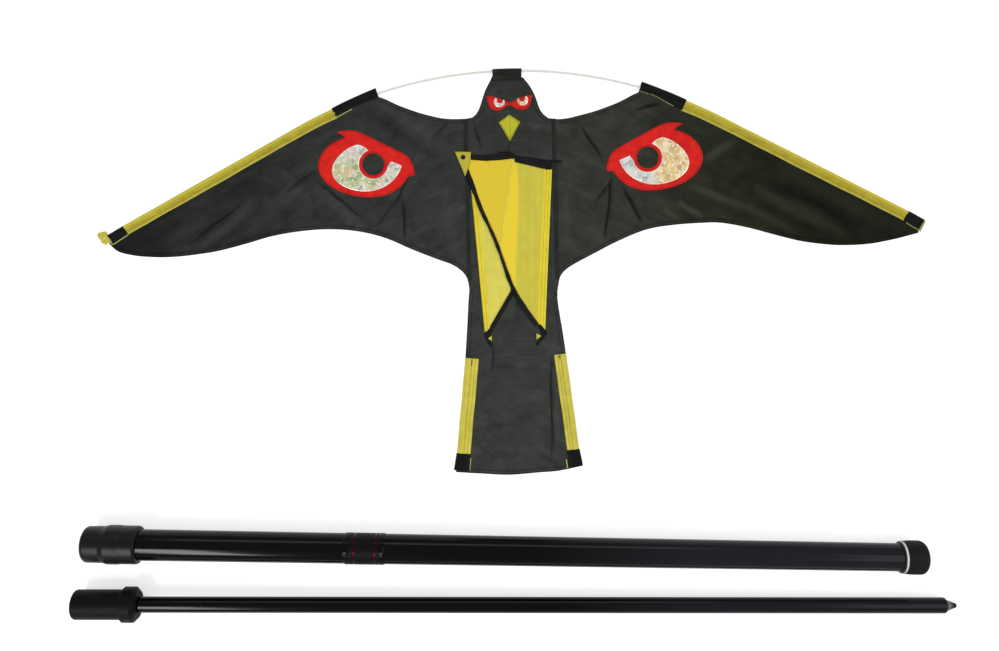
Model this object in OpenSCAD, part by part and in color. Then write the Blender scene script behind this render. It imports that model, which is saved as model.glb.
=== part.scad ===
// Bird scarer kite set as laid out flat: a hawk kite, its telescopic pole drawn in, and the ground stake.
// Millimetres, +Z up. The origin is on the floor under the middle of the set.

/* [Layout] */
// Kite axis point, along X
kite_x = -10; // [-40:1:20]
// Kite axis point, along Y
kite_y = 249; // [230:1:290]
// Turn of the kite in plan, degrees
kite_turn = 1.4; // [0:0.1:3]
// Butt end of the pole, along X
pole_x = -580; // [-620:1:-540]
// Butt end of the pole, along Y
pole_y = -270; // [-272:1:-240]
// Turn of the pole in plan, degrees
pole_turn = -0.97; // [-1.3:0.01:0]
// Axis of the stake at its plug, along Y
stake_y = -351.5; // [-400:0.5:-350]
// Turn of the stake in plan, degrees
stake_turn = -0.26; // [-0.5:0.01:0.3]

/* [Telescopic pole] */
// Outside diameter of the largest section at its butt
pole_d = 42; // [41.5:0.1:46]
// Outside diameter of the tip section at its end
tip_d = 4.15; // [4:0.05:5]
// Wall of the largest section
pole_wall = 1.3; // [1.2:0.05:1.35]
// How much thinner each next wall is
wall_step = 0.1; // [0.08:0.01:0.12]
// Length of the largest section
section_len = 1099; // [1050:1:1120]
// Overlap of two sections drawn right out
overlap = 95; // [80:1:140]
// Radial clearance of two sections drawn right out
slide_clear = 0.05; // [0.03:0.01:0.08]
// How far each inner mouth stands out of the next larger one
mouth_step = 2; // [1:0.5:2.5]
// How much shorter the tip section is than the largest one
tip_short = 11; // [9:1:16]
// Wall left around the socket in the butt
socket_wall = 1; // [0.8:0.05:1.1]
// Depth of the parallel socket in the butt
socket_len = 80; // [70:1:100]

/* [Pole caps] */
// Largest diameter of the butt cap
butt_cap_d = 52; // [50:0.5:56]
// Diameter of the butt cap's neck
butt_neck_d = 48.4; // [47.5:0.1:49.5]
// Length of the butt cap
butt_cap_len = 74; // [66:1:90]
// Thickness of the butt cap's end
butt_wall = 8; // [6:0.5:12]
// Rounding of the butt cap's end
butt_round = 6; // [4:0.5:9]
// Largest diameter of the tip cap
tip_cap_d = 45; // [44:0.5:50]
// Diameter of the tip cap at its rim
tip_rim_d = 43.2; // [42.5:0.1:44]
// How far the tip cap reaches back from the mouth
tip_cap_back = 10.5; // [8:0.5:16]
// Room for the inner mouths in front of the mouth
tip_room = 15; // [13:0.5:20]
// Thickness of the tip cap's end
tip_wall = 5; // [4:0.5:8]
// Rounding of the tip cap's end
tip_round = 9; // [6:0.5:11]
// Width of the pale ring at the tip cap's rim
ring_w = 4.5; // [3:0.5:6]
// Radial clearance of a cap over the tube
cap_clear = 0.3; // [0.3:0.05:0.4]
// Gap between a cap's end and the tube's end
end_gap = 0.2; // [0.1:0.1:0.4]

/* [Whipping] */
// Start of the whipped band from the butt cap's end
whip_at = 348; // [200:1:600]
// Length of the whipped band
whip_len = 54; // [40:1:80]
// Build of the band over the tube
whip_build = 0.6; // [0.4:0.05:0.9]
// Build of the bead at each end of the band
bead_build = 1; // [0.95:0.05:1.3]
// First red ring from the start of the band
red_ring_a = 13; // [10:0.5:18]
// Second red ring from the start of the band
red_ring_b = 41; // [30:0.5:42]
// Width of a red ring
red_ring_w = 2.6; // [1.5:0.1:3]

/* [Tip fittings] */
// Wall of the ferrule on the tip section
ferrule_wall = 1; // [0.8:0.05:1.1]
// Length of the ferrule behind the end of the tip section
ferrule_back = 13; // [8:1:20]
// Length of the ferrule's nose
ferrule_nose = 7; // [6:0.5:8]
// Diameter of the swivel's stem
stem_d = 1.9; // [1.6:0.1:2.2]
// Running clearance around the stem
stem_clear = 0.05; // [0.02:0.01:0.09]
// Wire diameter of the swivel's eye
eye_wire = 1.3; // [1:0.1:1.5]
// Radius of the swivel's eye to the middle of the wire
eye_r = 2.4; // [2:0.1:2.6]

/* [Ground stake] */
// Length over everything
stake_len = 1190; // [1150:1:1220]
// Outside diameter of the stake's tube
stake_d = 21.3; // [20:0.1:23]
// Wall of the stake's tube
stake_wall = 2; // [1.5:0.1:2.4]
// Length of the plug in front of its collar
plug_len = 66; // [55:1:69]
// Rounding of the plug's end
plug_round = 4; // [2:0.5:5]
// Thickness of the plug's closed end
plug_end = 4.5; // [3:0.5:6]
// Radial clearance of the plug in the pole's butt
plug_clear = 0.2; // [0.1:0.05:0.4]
// Diameter of the core inside the plug
core_d = 31; // [28:0.5:34]
// Diameter of the collar
collar_d = 47; // [45:0.5:52]
// Length of the collar
collar_len = 19.5; // [15:0.5:25]
// Chamfer of the collar
collar_chamfer = 5; // [3:0.5:6]
// Base diameter of the steel point's cone
point_d = 16; // [14:0.5:17]
// Diameter of the point's nose
nose_d = 7.4; // [6:0.2:9]
// Length of the point beyond the tube
point_len = 14.5; // [12:0.5:18]
// Rounding of the tube's end
stake_round = 4; // [3:0.5:4.4]
// Gap left for the bond between two glued pieces
bond_gap = 0.05; // [0.03:0.01:0.1]

/* [Kite frame] */
// Height of the spar's middle above the kite's axis point
spar_v = 121.4; // [120:0.2:128]
// Radius of the bent part of the spar
spar_bend = 611.5; // [590:0.5:640]
// Sweep of the wings, degrees
spar_sweep = 28.2; // [27.5:0.1:28.8]
// Straight outer part of the spar
spar_run = 305; // [295:0.5:320]
// Diameter of the spar
rod_d = 3; // [2.6:0.1:3.2]
// Diameter of the spar's ferrule
spar_ferrule_d = 4.2; // [4:0.1:4.4]
// Half length of the spar's ferrule
spar_ferrule_half = 17; // [12:0.5:18]
// Room around a rod in its ferrule or sleeve
rod_room = 0.1; // [0.05:0.01:0.2]
// Diameter of a tail rod
tail_rod_d = 2.5; // [2:0.1:3]

/* [Kite sail] */
// Thickness the cloth is modelled with
cloth = 0.5; // [0.4:0.05:0.6]
// Half width of the body strip between the wing seams
seam_u = 60; // [58:0.5:64]
// Height of the notch between head and wing
notch_v = 57; // [54:0.5:60]
// Half width of the head under its pocket
head_half = 21; // [18:0.5:22]
// Level of the waist above the tail
waist_v = -180; // [-184:1:-176]
// Half width of the tail at its lower end
tail_half = 85.5; // [80:0.5:92]
// Level of the tail's lower corners
tail_v = -421; // [-430:1:-412]
// Sag of the tail's lower edge in its middle
tail_sag = 9; // [4:0.5:14]
// Level of the lowest part of the wing
trough_v = -124.5; // [-128:0.5:-118]
// Level of the highest part of the wing's rear edge
crest_v = -91; // [-94:0.5:-84]
// Half width of a tape over the wing seam
tape_half = 2.5; // [1.5:0.1:3]

/* [Sleeves and pockets] */
// Sleeve width behind the spar
sleeve_in = 11; // [10:0.5:13]
// Sleeve width in front of the spar
sleeve_out = 2.8; // [2.6:0.1:3.6]
// Pocket width behind the spar
pocket_in = 12.5; // [11:0.5:14]
// Pocket width in front of the spar
pocket_out = 4.8; // [4:0.1:6]
// Tip pocket width in front of the spar
tip_pocket_out = 3; // [2.6:0.1:4]
// Start of the inner pocket along the spar
pocket_from = 182; // [176:0.5:190]
// Start of the sleeve along the spar
sleeve_from = 246.5; // [235:0.5:260]
// Length of the tip pocket over the spar's end
tip_pocket_len = 26; // [16:0.5:45]
// Depth of the tip pocket beyond the spar's end
tip_past = 3.5; // [2:0.5:6]
// Half width of the head pocket
head_pocket_half = 19; // [18.5:0.5:22]
// Depth of the head pocket behind the spar
head_pocket_in = 16; // [14:0.5:19]
// Width of a tail sleeve
tail_sleeve_w = 18; // [14:0.5:22]
// Start of a tail sleeve along the tail's edge
tail_sleeve_from = 78; // [70:1:90]
// Start of a tail pocket along the tail's edge
tail_pocket_from = 209; // [190:1:215]
// Length of the tape tie at a wing tip
tie_len = 9; // [6:0.5:12]

/* [Appliques] */
// Thickness of a patch
patch_t = 0.3; // [0.2:0.05:0.4]
// Thickness of a foil
foil_t = 0.2; // [0.15:0.05:0.3]
// Distance of a wing eye from the kite's axis
eye_u = 187.5; // [183:0.5:192]
// Level of a wing eye
eye_v = -1.3; // [-5:0.1:4]
// Radius of the hole that is the pupil
pupil_r = 15; // [12:0.5:17]
// Radius of the red ring around the pupil
eye_ring_r = 19.8; // [18.5:0.1:20.5]
// Half width of the beak
beak_half = 14.5; // [12:0.5:17]
// Level of the face mask's middle
mask_v = 78; // [75:0.5:80]

/* [Keel] */
// Half distance of the keel's seams at the top
keel_top_u = 56.3; // [54:0.1:57]
// Half distance of the keel's seams at the bottom
keel_bottom_u = 41.5; // [39:0.1:44]
// Level of the keel seams' top
keel_top_v = -14.5; // [-18:0.5:-12]
// Level of the keel seams' bottom
keel_bottom_v = -237.5; // [-245:0.5:-230]
// Width of a stitched keel hem
hem_w = 9; // [7:0.5:10]
// Gap between the keel flap and its hem
flap_gap = 0.4; // [0.3:0.05:0.6]
// Width of the black binding
binding_w = 6.5; // [5:0.5:8]
// Bore of the keel's eyelet
eyelet_d = 4; // [3.4:0.1:4.6]
// Diameter of the eyelet's flange
eyelet_flange_d = 8.5; // [8:0.1:9]
// Eyelet on the keel's corner, across
eyelet_u = -64.6; // [-65:0.1:-62]
// Eyelet on the keel's corner, level
eyelet_v = 5; // [4:0.1:7]

/* [Hidden] */
$fn = 96;

// Telescopic pole: walls, lengths and diameters of the sections, counted from the butt
tube_from = butt_wall + end_gap;
function sec_wall(i) = pole_wall - wall_step * (i - 1);
function sec_len(i) = i == 6 ? section_len - tip_short : section_len + mouth_step * (i - 1);
reach = 5 * (section_len - overlap) + 10 * mouth_step + sec_len(6);
walls = 2 * (sec_wall(1) + sec_wall(2) + sec_wall(3) + sec_wall(4) + sec_wall(5));
pole_taper = (pole_d - tip_d - walls - 10 * slide_clear) / reach;
function sec_d(i) = i == 1 ? pole_d
  : sec_d(i - 1) - pole_taper * (sec_len(i - 1) - overlap) - 2 * sec_wall(i - 1) - 2 * slide_clear;
function sec_r(i, s) = (sec_d(i) - pole_taper * (s - tube_from)) / 2;
mouth = tube_from + section_len;
socket_r = pole_d / 2 - socket_wall;
butt_bore_r = pole_d / 2 + cap_clear;
tip_rim = mouth - tip_cap_back;
tip_bore_r = sec_r(1, tip_rim - ring_w) + cap_clear;
tip_end = mouth + tip_room + tip_wall;
butt_rest = 40;
tip_rest = tip_end - tip_round;
pole_pitch = asin((butt_cap_d - tip_cap_d) / 2 / (tip_rest - butt_rest));
pole_z = butt_cap_d / 2 + butt_rest * sin(pole_pitch);
tip_at = tube_from + sec_len(6);
ferrule_bore_r = sec_r(6, tip_at - ferrule_back) + bond_gap;
ferrule_r = ferrule_bore_r + ferrule_wall;
stem_r = stem_d / 2;
swivel_head = 1.4;

// Ground stake: the plug fits the socket in the pole's butt
plug_r = socket_r - plug_clear;
stake_r = stake_d / 2;
stake_x = -stake_len / 2;
stake_tube_end = stake_len - point_len;
collar_end = plug_len + collar_len;
collar_rest = collar_end - collar_chamfer;
stake_rest = stake_tube_end - stake_round;
stake_pitch = asin((collar_d / 2 - stake_r) / (stake_rest - collar_rest));
stake_z = collar_d / 2 + collar_rest * sin(stake_pitch);
neck_r = stake_r - stake_round - 0.4;
shank_r = stake_r - stake_wall - bond_gap;

// Kite frame: the spar bends round an arc and then runs straight to the wing tip
rod_r = rod_d / 2;
rod_z = spar_ferrule_d / 2 + 0.5;
arc_end = spar_bend * spar_sweep * PI / 180;
spar_end = arc_end + spar_run;
tip_from = spar_end - tip_pocket_len;
bend_at = [0, spar_v - spar_bend];
run_at = bend_at + spar_bend * [sin(spar_sweep), cos(spar_sweep)];
run_dir = [cos(spar_sweep), -sin(spar_sweep)];
run_out = [sin(spar_sweep), cos(spar_sweep)];
panel_edge = 7.5;
sleeve_step = 7;
function turn_at(l) = l / spar_bend * 180 / PI;
function on_arc(a, w) = bend_at + (spar_bend + w) * [sin(a), cos(a)];
function on_run(l, w) = run_at + (l - arc_end) * run_dir + w * run_out;
tail_top = [seam_u, waist_v - 10];
tail_lean = atan((tail_half - seam_u) / (tail_top[1] - tail_v));
tail_edge = (tail_top[1] - tail_v) / cos(tail_lean);
tail_rod_w = 6;
tail_rod_z = cloth + tail_rod_d / 2 + 0.5;

// Kite sail: outlines from cubic curves
function bez(p, n) = [for (i = [0 : n]) let (t = i / n)
  pow(1 - t, 3) * p[0] + 3 * pow(1 - t, 2) * t * p[1] + 3 * (1 - t) * t * t * p[2] + pow(t, 3) * p[3]];
function flip(p) = [for (i = [len(p) - 1 : -1 : 0]) [-p[i][0], p[i][1]]];
head_top = spar_v - 10.5;
wing_tip = on_run(spar_end + 1.8, -panel_edge);
wing_corner = on_run(spar_end + 1.8, 0.3 - pocket_in);
head_side = bez([[head_half, head_top], [head_half + 19, head_top - 20.5], [seam_u - 26, notch_v],
  [seam_u, notch_v]], 14);
tail_bottom = bez([[tail_half, tail_v], [tail_half / 3, tail_v - tail_sag * 4 / 3],
  [-tail_half / 3, tail_v - tail_sag * 4 / 3], [-tail_half, tail_v]], 10);
shoulder_end = on_arc(turn_at(pocket_from + 2), -panel_edge);
shoulder_w = shoulder_end[0] - seam_u;
shoulder = bez([[seam_u, notch_v], [seam_u + 0.34 * shoulder_w, notch_v],
  [seam_u + 0.66 * shoulder_w, (notch_v + shoulder_end[1]) / 2], shoulder_end], 12);
lead_arc = [for (i = [1 : 6]) let (a = turn_at(pocket_from + 2))
  on_arc(a + (spar_sweep - a) * i / 6, -panel_edge)];
function span(k) = seam_u + k * (wing_corner[0] - seam_u);
function drop(k) = crest_v + k * (waist_v - crest_v);
rear_tip = bez([wing_corner, [span(0.971), 0.3 * wing_corner[1] + 0.7 * trough_v], [span(0.91), trough_v],
  [span(0.828), trough_v]], 8);
rear_wave = bez([[span(0.828), trough_v], [span(0.675), trough_v], [span(0.542), crest_v],
  [span(0.409), crest_v]], 14);
rear_slope = bez([[span(0.409), crest_v], [span(0.266), crest_v], [span(0.194), drop(0.18)],
  [span(0.082), drop(0.493)]], 12);
rear_root = bez([[span(0.082), drop(0.493)], [span(0.037), drop(0.6)], [seam_u, drop(0.7)],
  [seam_u, waist_v]], 10);

// Keel: the flap turns about the left edge of its right hem
layer_side = cloth;
layer_back = 2 * cloth + 0.2;
layer_flap = layer_back + cloth + 0.2;
flap_mid = layer_flap + cloth / 2;
hinge_top = [keel_top_u - hem_w, keel_top_v];
hinge_bottom = [keel_bottom_u - hem_w, keel_bottom_v];
keel_cross = [-2, -178];
keel_foot = [32.6, -226];
free_edge = [[-61.6, -22.2], [-37.8, -73], [-17, -118.6], keel_cross, keel_foot];
function shifted(p, d) = [for (q = p) q + d];

module on_pole() {
  translate([pole_x, pole_y, pole_z])
    rotate([0, pole_pitch, pole_turn])
      rotate([0, 90, 0])
        children();
}

module on_stake() {
  translate([stake_x, stake_y, stake_z])
    rotate([0, stake_pitch, stake_turn])
      rotate([0, 90, 0])
        children();
}

module on_kite() {
  translate([kite_x, kite_y, 0])
    rotate([0, 0, kite_turn])
      children();
}

// Draws the children on the left side of the kite
module left_side() {
  mirror([1, 0, 0])
    children();
}

// A flat piece of cloth with its underside at a level
module sheet(level, thick) {
  translate([0, 0, level])
    linear_extrude(thick)
      children();
}

// A profile drawn with its width in X and its height in Y, run along X
module run(from, to) {
  translate([from, 0, 0])
    rotate([90, 0, 90])
      linear_extrude(to - from)
        children();
}

// A profile swept along the right half of the spar between two lengths from the middle
module along_spar(from, to) {
  bent = turn_at(min(to, arc_end));
  translate([bend_at[0], bend_at[1], 0])
    rotate([0, 0, -spar_sweep])
      union() {
        if (from < arc_end)
          rotate([0, 0, 90 + (to < arc_end ? spar_sweep - bent : 0)])
            rotate_extrude(angle = bent - turn_at(from), $fn = 360)
              translate([spar_bend, 0])
                children();
        if (to > arc_end)
          translate([0, spar_bend, 0])
            run(max(from, arc_end) - arc_end, to - arc_end)
              children();
      }
}

// A profile swept along the middle of the spar, to both sides
module across_spar(half) {
  translate([bend_at[0], bend_at[1], 0])
    rotate([0, 0, 90 - turn_at(half)])
      rotate_extrude(angle = 2 * turn_at(half), $fn = 360)
        translate([spar_bend, 0])
          children();
}

// A profile run down the right edge of the tail
module along_tail(from, to) {
  translate([tail_top[0], tail_top[1], 0])
    rotate([0, 0, tail_lean - 90])
      run(from, to)
        children();
}

// Cloth folded round a rod and stitched down behind it
module fold_profile(inner, outer, hug) {
  polygon([[-inner, cloth], [-inner, cloth + 0.7], [-hug * 0.8, rod_z + hug * 0.75],
    [-hug * 0.35, rod_z + hug], [hug * 0.35, rod_z + hug], [hug * 0.8, rod_z + hug * 0.75],
    [outer, rod_z], [outer, rod_z - 1.2],
    [hug * 0.7, 0], [-sleeve_step, 0], [-sleeve_step, cloth]]);
}

module fold_tube(inner, outer, hug, bore) {
  difference() {
    fold_profile(inner, outer, hug);
    translate([0, rod_z])
      circle(bore);
  }
}

module tail_fold(room) {
  hug = tail_rod_d / 2 + 0.6;
  difference() {
    polygon([[-tail_sleeve_w, cloth], [-tail_sleeve_w, cloth + 0.6],
      [-tail_rod_w - hug * 0.8, tail_rod_z + hug * 0.75],
      [-tail_rod_w - hug * 0.35, tail_rod_z + hug], [-tail_rod_w + hug * 0.35, tail_rod_z + hug],
      [-tail_rod_w + hug * 0.8, tail_rod_z + hug * 0.75], [-0.2, cloth + 0.9], [-0.2, cloth]]);
    translate([-tail_rod_w, tail_rod_z])
      circle(tail_rod_d / 2 + room);
  }
}

module section_tube(i) {
  from = tube_from;
  to = tube_from + sec_len(i);
  on_pole()
    rotate_extrude()
      polygon([[sec_r(i, from) - sec_wall(i), from], [sec_r(i, from), from], [sec_r(i, to), to],
        [sec_r(i, to) - sec_wall(i), to]]);
}

module pole_section_1() {
  step = tube_from + socket_len;
  color([0.05, 0.05, 0.06])
    on_pole()
      rotate_extrude()
        polygon([[socket_r, tube_from], [sec_r(1, tube_from), tube_from], [sec_r(1, mouth), mouth],
          [sec_r(1, mouth) - pole_wall, mouth], [sec_r(1, step) - pole_wall, step], [socket_r, step]]);
}

module pole_section_2() {
  color([0.06, 0.06, 0.07])
    section_tube(2);
}

module pole_section_3() {
  color([0.06, 0.06, 0.07])
    section_tube(3);
}

module pole_section_4() {
  color([0.06, 0.06, 0.07])
    section_tube(4);
}

module pole_section_5() {
  color([0.06, 0.06, 0.07])
    section_tube(5);
}

module pole_section_6() {
  color([0.06, 0.06, 0.07])
    section_tube(6);
}

// Soft cap pushed over the butt, with a waist behind its rounded end
module butt_cap() {
  neck_r = butt_neck_d / 2;
  cap_r = butt_cap_d / 2;
  lip_r = cap_r - 0.6;
  color([0.08, 0.08, 0.08])
    on_pole()
      rotate_extrude()
        difference() {
          union() {
            polygon([[0, 0], [neck_r - butt_round, 0], [neck_r - butt_round, butt_round],
              [neck_r, butt_round], [neck_r, 26], [cap_r, 33], [cap_r, 46], [lip_r, 51],
              [lip_r, butt_cap_len - 4],
              [lip_r - 4, butt_cap_len - 4], [lip_r - 4, butt_cap_len], [0, butt_cap_len]]);
            translate([neck_r - butt_round, butt_round])
              circle(butt_round);
            translate([lip_r - 4, butt_cap_len - 4])
              circle(4);
          }
          translate([0, butt_wall])
            square([butt_bore_r, butt_cap_len]);
          translate([-60, -10])
            square([60, butt_cap_len + 20]);
        }
}

module tip_cap() {
  rim_r = tip_rim_d / 2;
  cap_r = tip_cap_d / 2;
  color([0.06, 0.06, 0.06])
    on_pole()
      rotate_extrude()
        difference() {
          union() {
            polygon([[0, tip_rim], [rim_r, tip_rim], [cap_r, tip_rim + 9], [cap_r, tip_end - tip_round],
              [cap_r - tip_round, tip_end - tip_round], [cap_r - tip_round, tip_end], [0, tip_end]]);
            translate([cap_r - tip_round, tip_end - tip_round])
              circle(tip_round);
          }
          translate([0, tip_rim - 1])
            square([tip_bore_r, mouth + tip_room - tip_rim + 1]);
          translate([-60, tip_rim - 10])
            square([60, 80]);
        }
}

// Pale collar ring on the rim of the tip cap
module tip_cap_ring() {
  color([0.92, 0.92, 0.9])
    on_pole()
      rotate_extrude()
        difference() {
          union() {
            translate([0, tip_rim - ring_w + 1.5])
              square([tip_rim_d / 2 - 0.4, ring_w - 1.5]);
            translate([0, tip_rim - ring_w])
              square([tip_rim_d / 2 - 1.9, ring_w]);
            translate([tip_rim_d / 2 - 1.9, tip_rim - ring_w + 1.5])
              circle(1.5);
          }
          translate([0, tip_rim - ring_w - 1])
            square([tip_bore_r, ring_w + 2]);
        }
}

// Lacquered thread wound round the tube, with a thick bead of lacquer at each end
module whipping_band() {
  to = whip_at + whip_len;
  function up(s, b) = [sec_r(1, s) + b, s];
  color([0.04, 0.04, 0.05])
    on_pole()
      rotate_extrude()
        polygon([up(whip_at, bond_gap), up(whip_at, 0.2), up(whip_at + 2, bead_build),
          up(whip_at + 5, bead_build), up(whip_at + 8, whip_build), up(to - 8, whip_build),
          up(to - 5, bead_build), up(to - 2, bead_build),
          up(to, 0.2), up(to, bond_gap)]);
}

module whipping_rings() {
  function up(s, b) = [sec_r(1, s) + whip_build + b, s];
  color([0.7, 0.05, 0.05])
    on_pole()
      for (s = [whip_at + red_ring_a, whip_at + red_ring_b])
        rotate_extrude()
          polygon([up(s, bond_gap), up(s, 0.2), up(s + red_ring_w, 0.2), up(s + red_ring_w, bond_gap)]);
}

// Sleeve on the end of the tip section, with a nose that holds the swivel's stem
module tip_ferrule() {
  color([0.75, 0.62, 0.3])
    on_pole()
      rotate_extrude()
        polygon([[ferrule_bore_r, tip_at - ferrule_back], [ferrule_r, tip_at - ferrule_back],
          [ferrule_r, tip_at + ferrule_nose - 1], [ferrule_r - 1, tip_at + ferrule_nose],
          [stem_r + stem_clear, tip_at + ferrule_nose], [stem_r + stem_clear, tip_at + 3.2],
          [ferrule_bore_r, tip_at + 3.2]]);
}

module tip_swivel() {
  nose = tip_at + ferrule_nose;
  color([0.8, 0.8, 0.8])
    on_pole()
      union() {
        translate([0, 0, tip_at + 1.4])
          cylinder(h = 1.4, r = swivel_head);
        translate([0, 0, tip_at + 1.4])
          cylinder(h = ferrule_nose - 0.4, r = stem_r);
        translate([0, 0, nose + 0.5])
          cylinder(h = 1.5, r = swivel_head);
        translate([0, 0, nose + 1.6 + eye_r])
          rotate([90, 0, 0])
            rotate_extrude()
              translate([eye_r, 0])
                circle(eye_wire / 2);
      }
}

// Steel tube with its end closed in over the neck of the point
module stake_tube() {
  color([0.05, 0.05, 0.06])
    on_stake()
      rotate_extrude()
        difference() {
          union() {
            translate([0, plug_end + 1])
              square([stake_r, stake_tube_end - stake_round - plug_end - 1]);
            translate([0, stake_tube_end - stake_round])
              square([stake_r - stake_round, stake_round]);
            translate([stake_r - stake_round, stake_tube_end - stake_round])
              circle(stake_round);
          }
          translate([0, plug_end])
            square([stake_r - stake_wall, stake_tube_end - stake_round - plug_end - 1]);
          translate([0, plug_end])
            square([neck_r, stake_len]);
        }
}

module stake_point() {
  color([0.6, 0.6, 0.62])
    on_stake()
      rotate_extrude()
        union() {
          polygon([[0, stake_tube_end - 60], [shank_r, stake_tube_end - 60],
            [shank_r, stake_tube_end - stake_round - 1.2],
            [neck_r - bond_gap, stake_tube_end - stake_round - 1.2],
            [neck_r - bond_gap, stake_tube_end + bond_gap], [point_d / 2, stake_tube_end + bond_gap],
            [nose_d / 2, stake_len - nose_d / 2], [0, stake_len - nose_d / 2]]);
          intersection() {
            translate([0, stake_len - nose_d / 2])
              circle(nose_d / 2);
            translate([0, stake_len - nose_d / 2 - 0.5])
              square([nose_d, nose_d]);
          }
        }
}

// Rubber sleeve with a closed end, sized for the socket in the pole's butt
module plug_sleeve() {
  color([0.1, 0.1, 0.1])
    on_stake()
      rotate_extrude()
        difference() {
          union() {
            square([plug_r - plug_round, plug_len]);
            translate([0, plug_round])
              square([plug_r, plug_len - plug_round]);
            translate([plug_r - plug_round, plug_round])
              circle(plug_round);
          }
          translate([0, plug_end])
            square([core_d / 2 + bond_gap, plug_len]);
          translate([-60, -10])
            square([60, plug_len + 20]);
        }
}

module plug_collar() {
  color([0.09, 0.09, 0.09])
    on_stake()
      rotate_extrude()
        polygon([[core_d / 2 + bond_gap, plug_len], [collar_d / 2 - 1, plug_len],
          [collar_d / 2, plug_len + 1], [collar_d / 2, collar_rest],
          [collar_d / 2 - collar_chamfer, collar_end],
          [core_d / 2 + bond_gap, collar_end]]);
}

module plug_core() {
  color([0.12, 0.12, 0.13])
    on_stake()
      rotate_extrude()
        polygon([[stake_r + bond_gap, plug_end + 0.1], [core_d / 2, plug_end + 0.1],
          [core_d / 2, collar_end - 1], [core_d / 2 - 2, collar_end + 1],
          [stake_r + bond_gap, collar_end + 1]]);
}

module body_panel() {
  half = concat(head_side, [[seam_u, waist_v], tail_top]);
  color([0.16, 0.16, 0.17])
    on_kite()
      sheet(0, cloth)
        polygon(concat(half, tail_bottom, flip(half)));
}

module wing_panel() {
  sheet(0, cloth)
    polygon(concat(shoulder, lead_arc, [wing_tip], rear_tip, rear_wave, rear_slope, rear_root));
}

module wing_panel_left() {
  color([0.16, 0.16, 0.17])
    on_kite()
      left_side()
        wing_panel();
}

module wing_panel_right() {
  color([0.16, 0.16, 0.17])
    on_kite()
      wing_panel();
}

module seam_tapes() {
  color([0.1, 0.1, 0.11])
    on_kite()
      for (side = [-1, 1])
        sheet(cloth, 0.3)
          polygon([[side * (seam_u - tape_half), notch_v - 2], [side * (seam_u + tape_half), notch_v - 2],
            [side * (seam_u + tape_half), waist_v + 16], [side * (seam_u - tape_half), waist_v + 16]]);
}

module head_pocket() {
  hug = spar_ferrule_d / 2 + 0.5;
  color([0.12, 0.12, 0.13])
    on_kite()
      across_spar(head_pocket_half)
        difference() {
          polygon([[-head_pocket_in, cloth], [-head_pocket_in, cloth + 0.7],
            [-hug * 0.8, rod_z + hug * 0.75],
            [-hug * 0.35, rod_z + hug], [hug * 0.35, rod_z + hug], [hug * 0.8, rod_z + hug * 0.75],
            [hug + 0.2, rod_z], [hug + 0.2, rod_z - 1.2], [hug * 0.6, 0], [-10, 0], [-10, cloth]]);
          translate([0, rod_z])
            circle(spar_ferrule_d / 2 + rod_room);
        }
}

module half_spar() {
  along_spar(0.5, spar_end)
    translate([0, rod_z])
      circle(rod_r);
}

module spar_left() {
  color([0.93, 0.93, 0.9])
    on_kite()
      left_side()
        half_spar();
}

module spar_right() {
  color([0.93, 0.93, 0.9])
    on_kite()
      half_spar();
}

module spar_ferrule() {
  color([0.75, 0.62, 0.3])
    on_kite()
      across_spar(spar_ferrule_half)
        translate([0, rod_z])
          difference() {
            circle(spar_ferrule_d / 2);
            circle(rod_r + rod_room);
          }
}

module wing_sleeve() {
  along_spar(sleeve_from, tip_from)
    fold_tube(sleeve_in, sleeve_out, rod_r + 0.7, rod_r + rod_room);
}

module wing_sleeve_left() {
  color([0.75, 0.72, 0.12])
    on_kite()
      left_side()
        wing_sleeve();
}

module wing_sleeve_right() {
  color([0.75, 0.72, 0.12])
    on_kite()
      wing_sleeve();
}

module inner_pocket() {
  along_spar(pocket_from, sleeve_from)
    fold_tube(pocket_in, pocket_out, rod_r + 0.9, rod_r + rod_room);
}

module inner_pocket_left() {
  color([0.1, 0.1, 0.11])
    on_kite()
      left_side()
        inner_pocket();
}

module inner_pocket_right() {
  color([0.1, 0.1, 0.11])
    on_kite()
      inner_pocket();
}

// Closed pocket that takes the end of the spar
module tip_pocket() {
  difference() {
    along_spar(tip_from, spar_end + tip_past)
      fold_profile(pocket_in, tip_pocket_out, rod_r + 0.9);
    along_spar(tip_from - 1, spar_end + 1)
      translate([0, rod_z])
        circle(rod_r + rod_room);
  }
}

module tip_pocket_left() {
  color([0.1, 0.1, 0.11])
    on_kite()
      left_side()
        tip_pocket();
}

module tip_pocket_right() {
  color([0.1, 0.1, 0.11])
    on_kite()
      tip_pocket();
}

// Tape tie sewn across the end of a tip pocket
module tip_tie(length, from, to) {
  along_spar(spar_end + tip_past, spar_end + tip_past + length)
    polygon([[from, 0.8], [from, 2], [to, 2], [to, 0.8]]);
}

module tip_tie_left() {
  color([0.8, 0.76, 0.1])
    on_kite()
      left_side()
        tip_tie(tie_len, -4, tip_pocket_out + 3);
}

module tip_tie_right() {
  color([0.8, 0.76, 0.1])
    on_kite()
      tip_tie(tie_len / 3, -8, tip_pocket_out);
}

module tail_sleeve() {
  along_tail(tail_sleeve_from, tail_pocket_from)
    tail_fold(rod_room);
}

module tail_sleeve_left() {
  color([0.78, 0.72, 0.1])
    on_kite()
      left_side()
        tail_sleeve();
}

module tail_sleeve_right() {
  color([0.78, 0.72, 0.1])
    on_kite()
      tail_sleeve();
}

module tail_pocket() {
  along_tail(tail_pocket_from, tail_edge - 0.5)
    tail_fold(rod_room);
}

module tail_pocket_left() {
  color([0.1, 0.1, 0.11])
    on_kite()
      left_side()
        tail_pocket();
}

module tail_pocket_right() {
  color([0.1, 0.1, 0.11])
    on_kite()
      tail_pocket();
}

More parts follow.
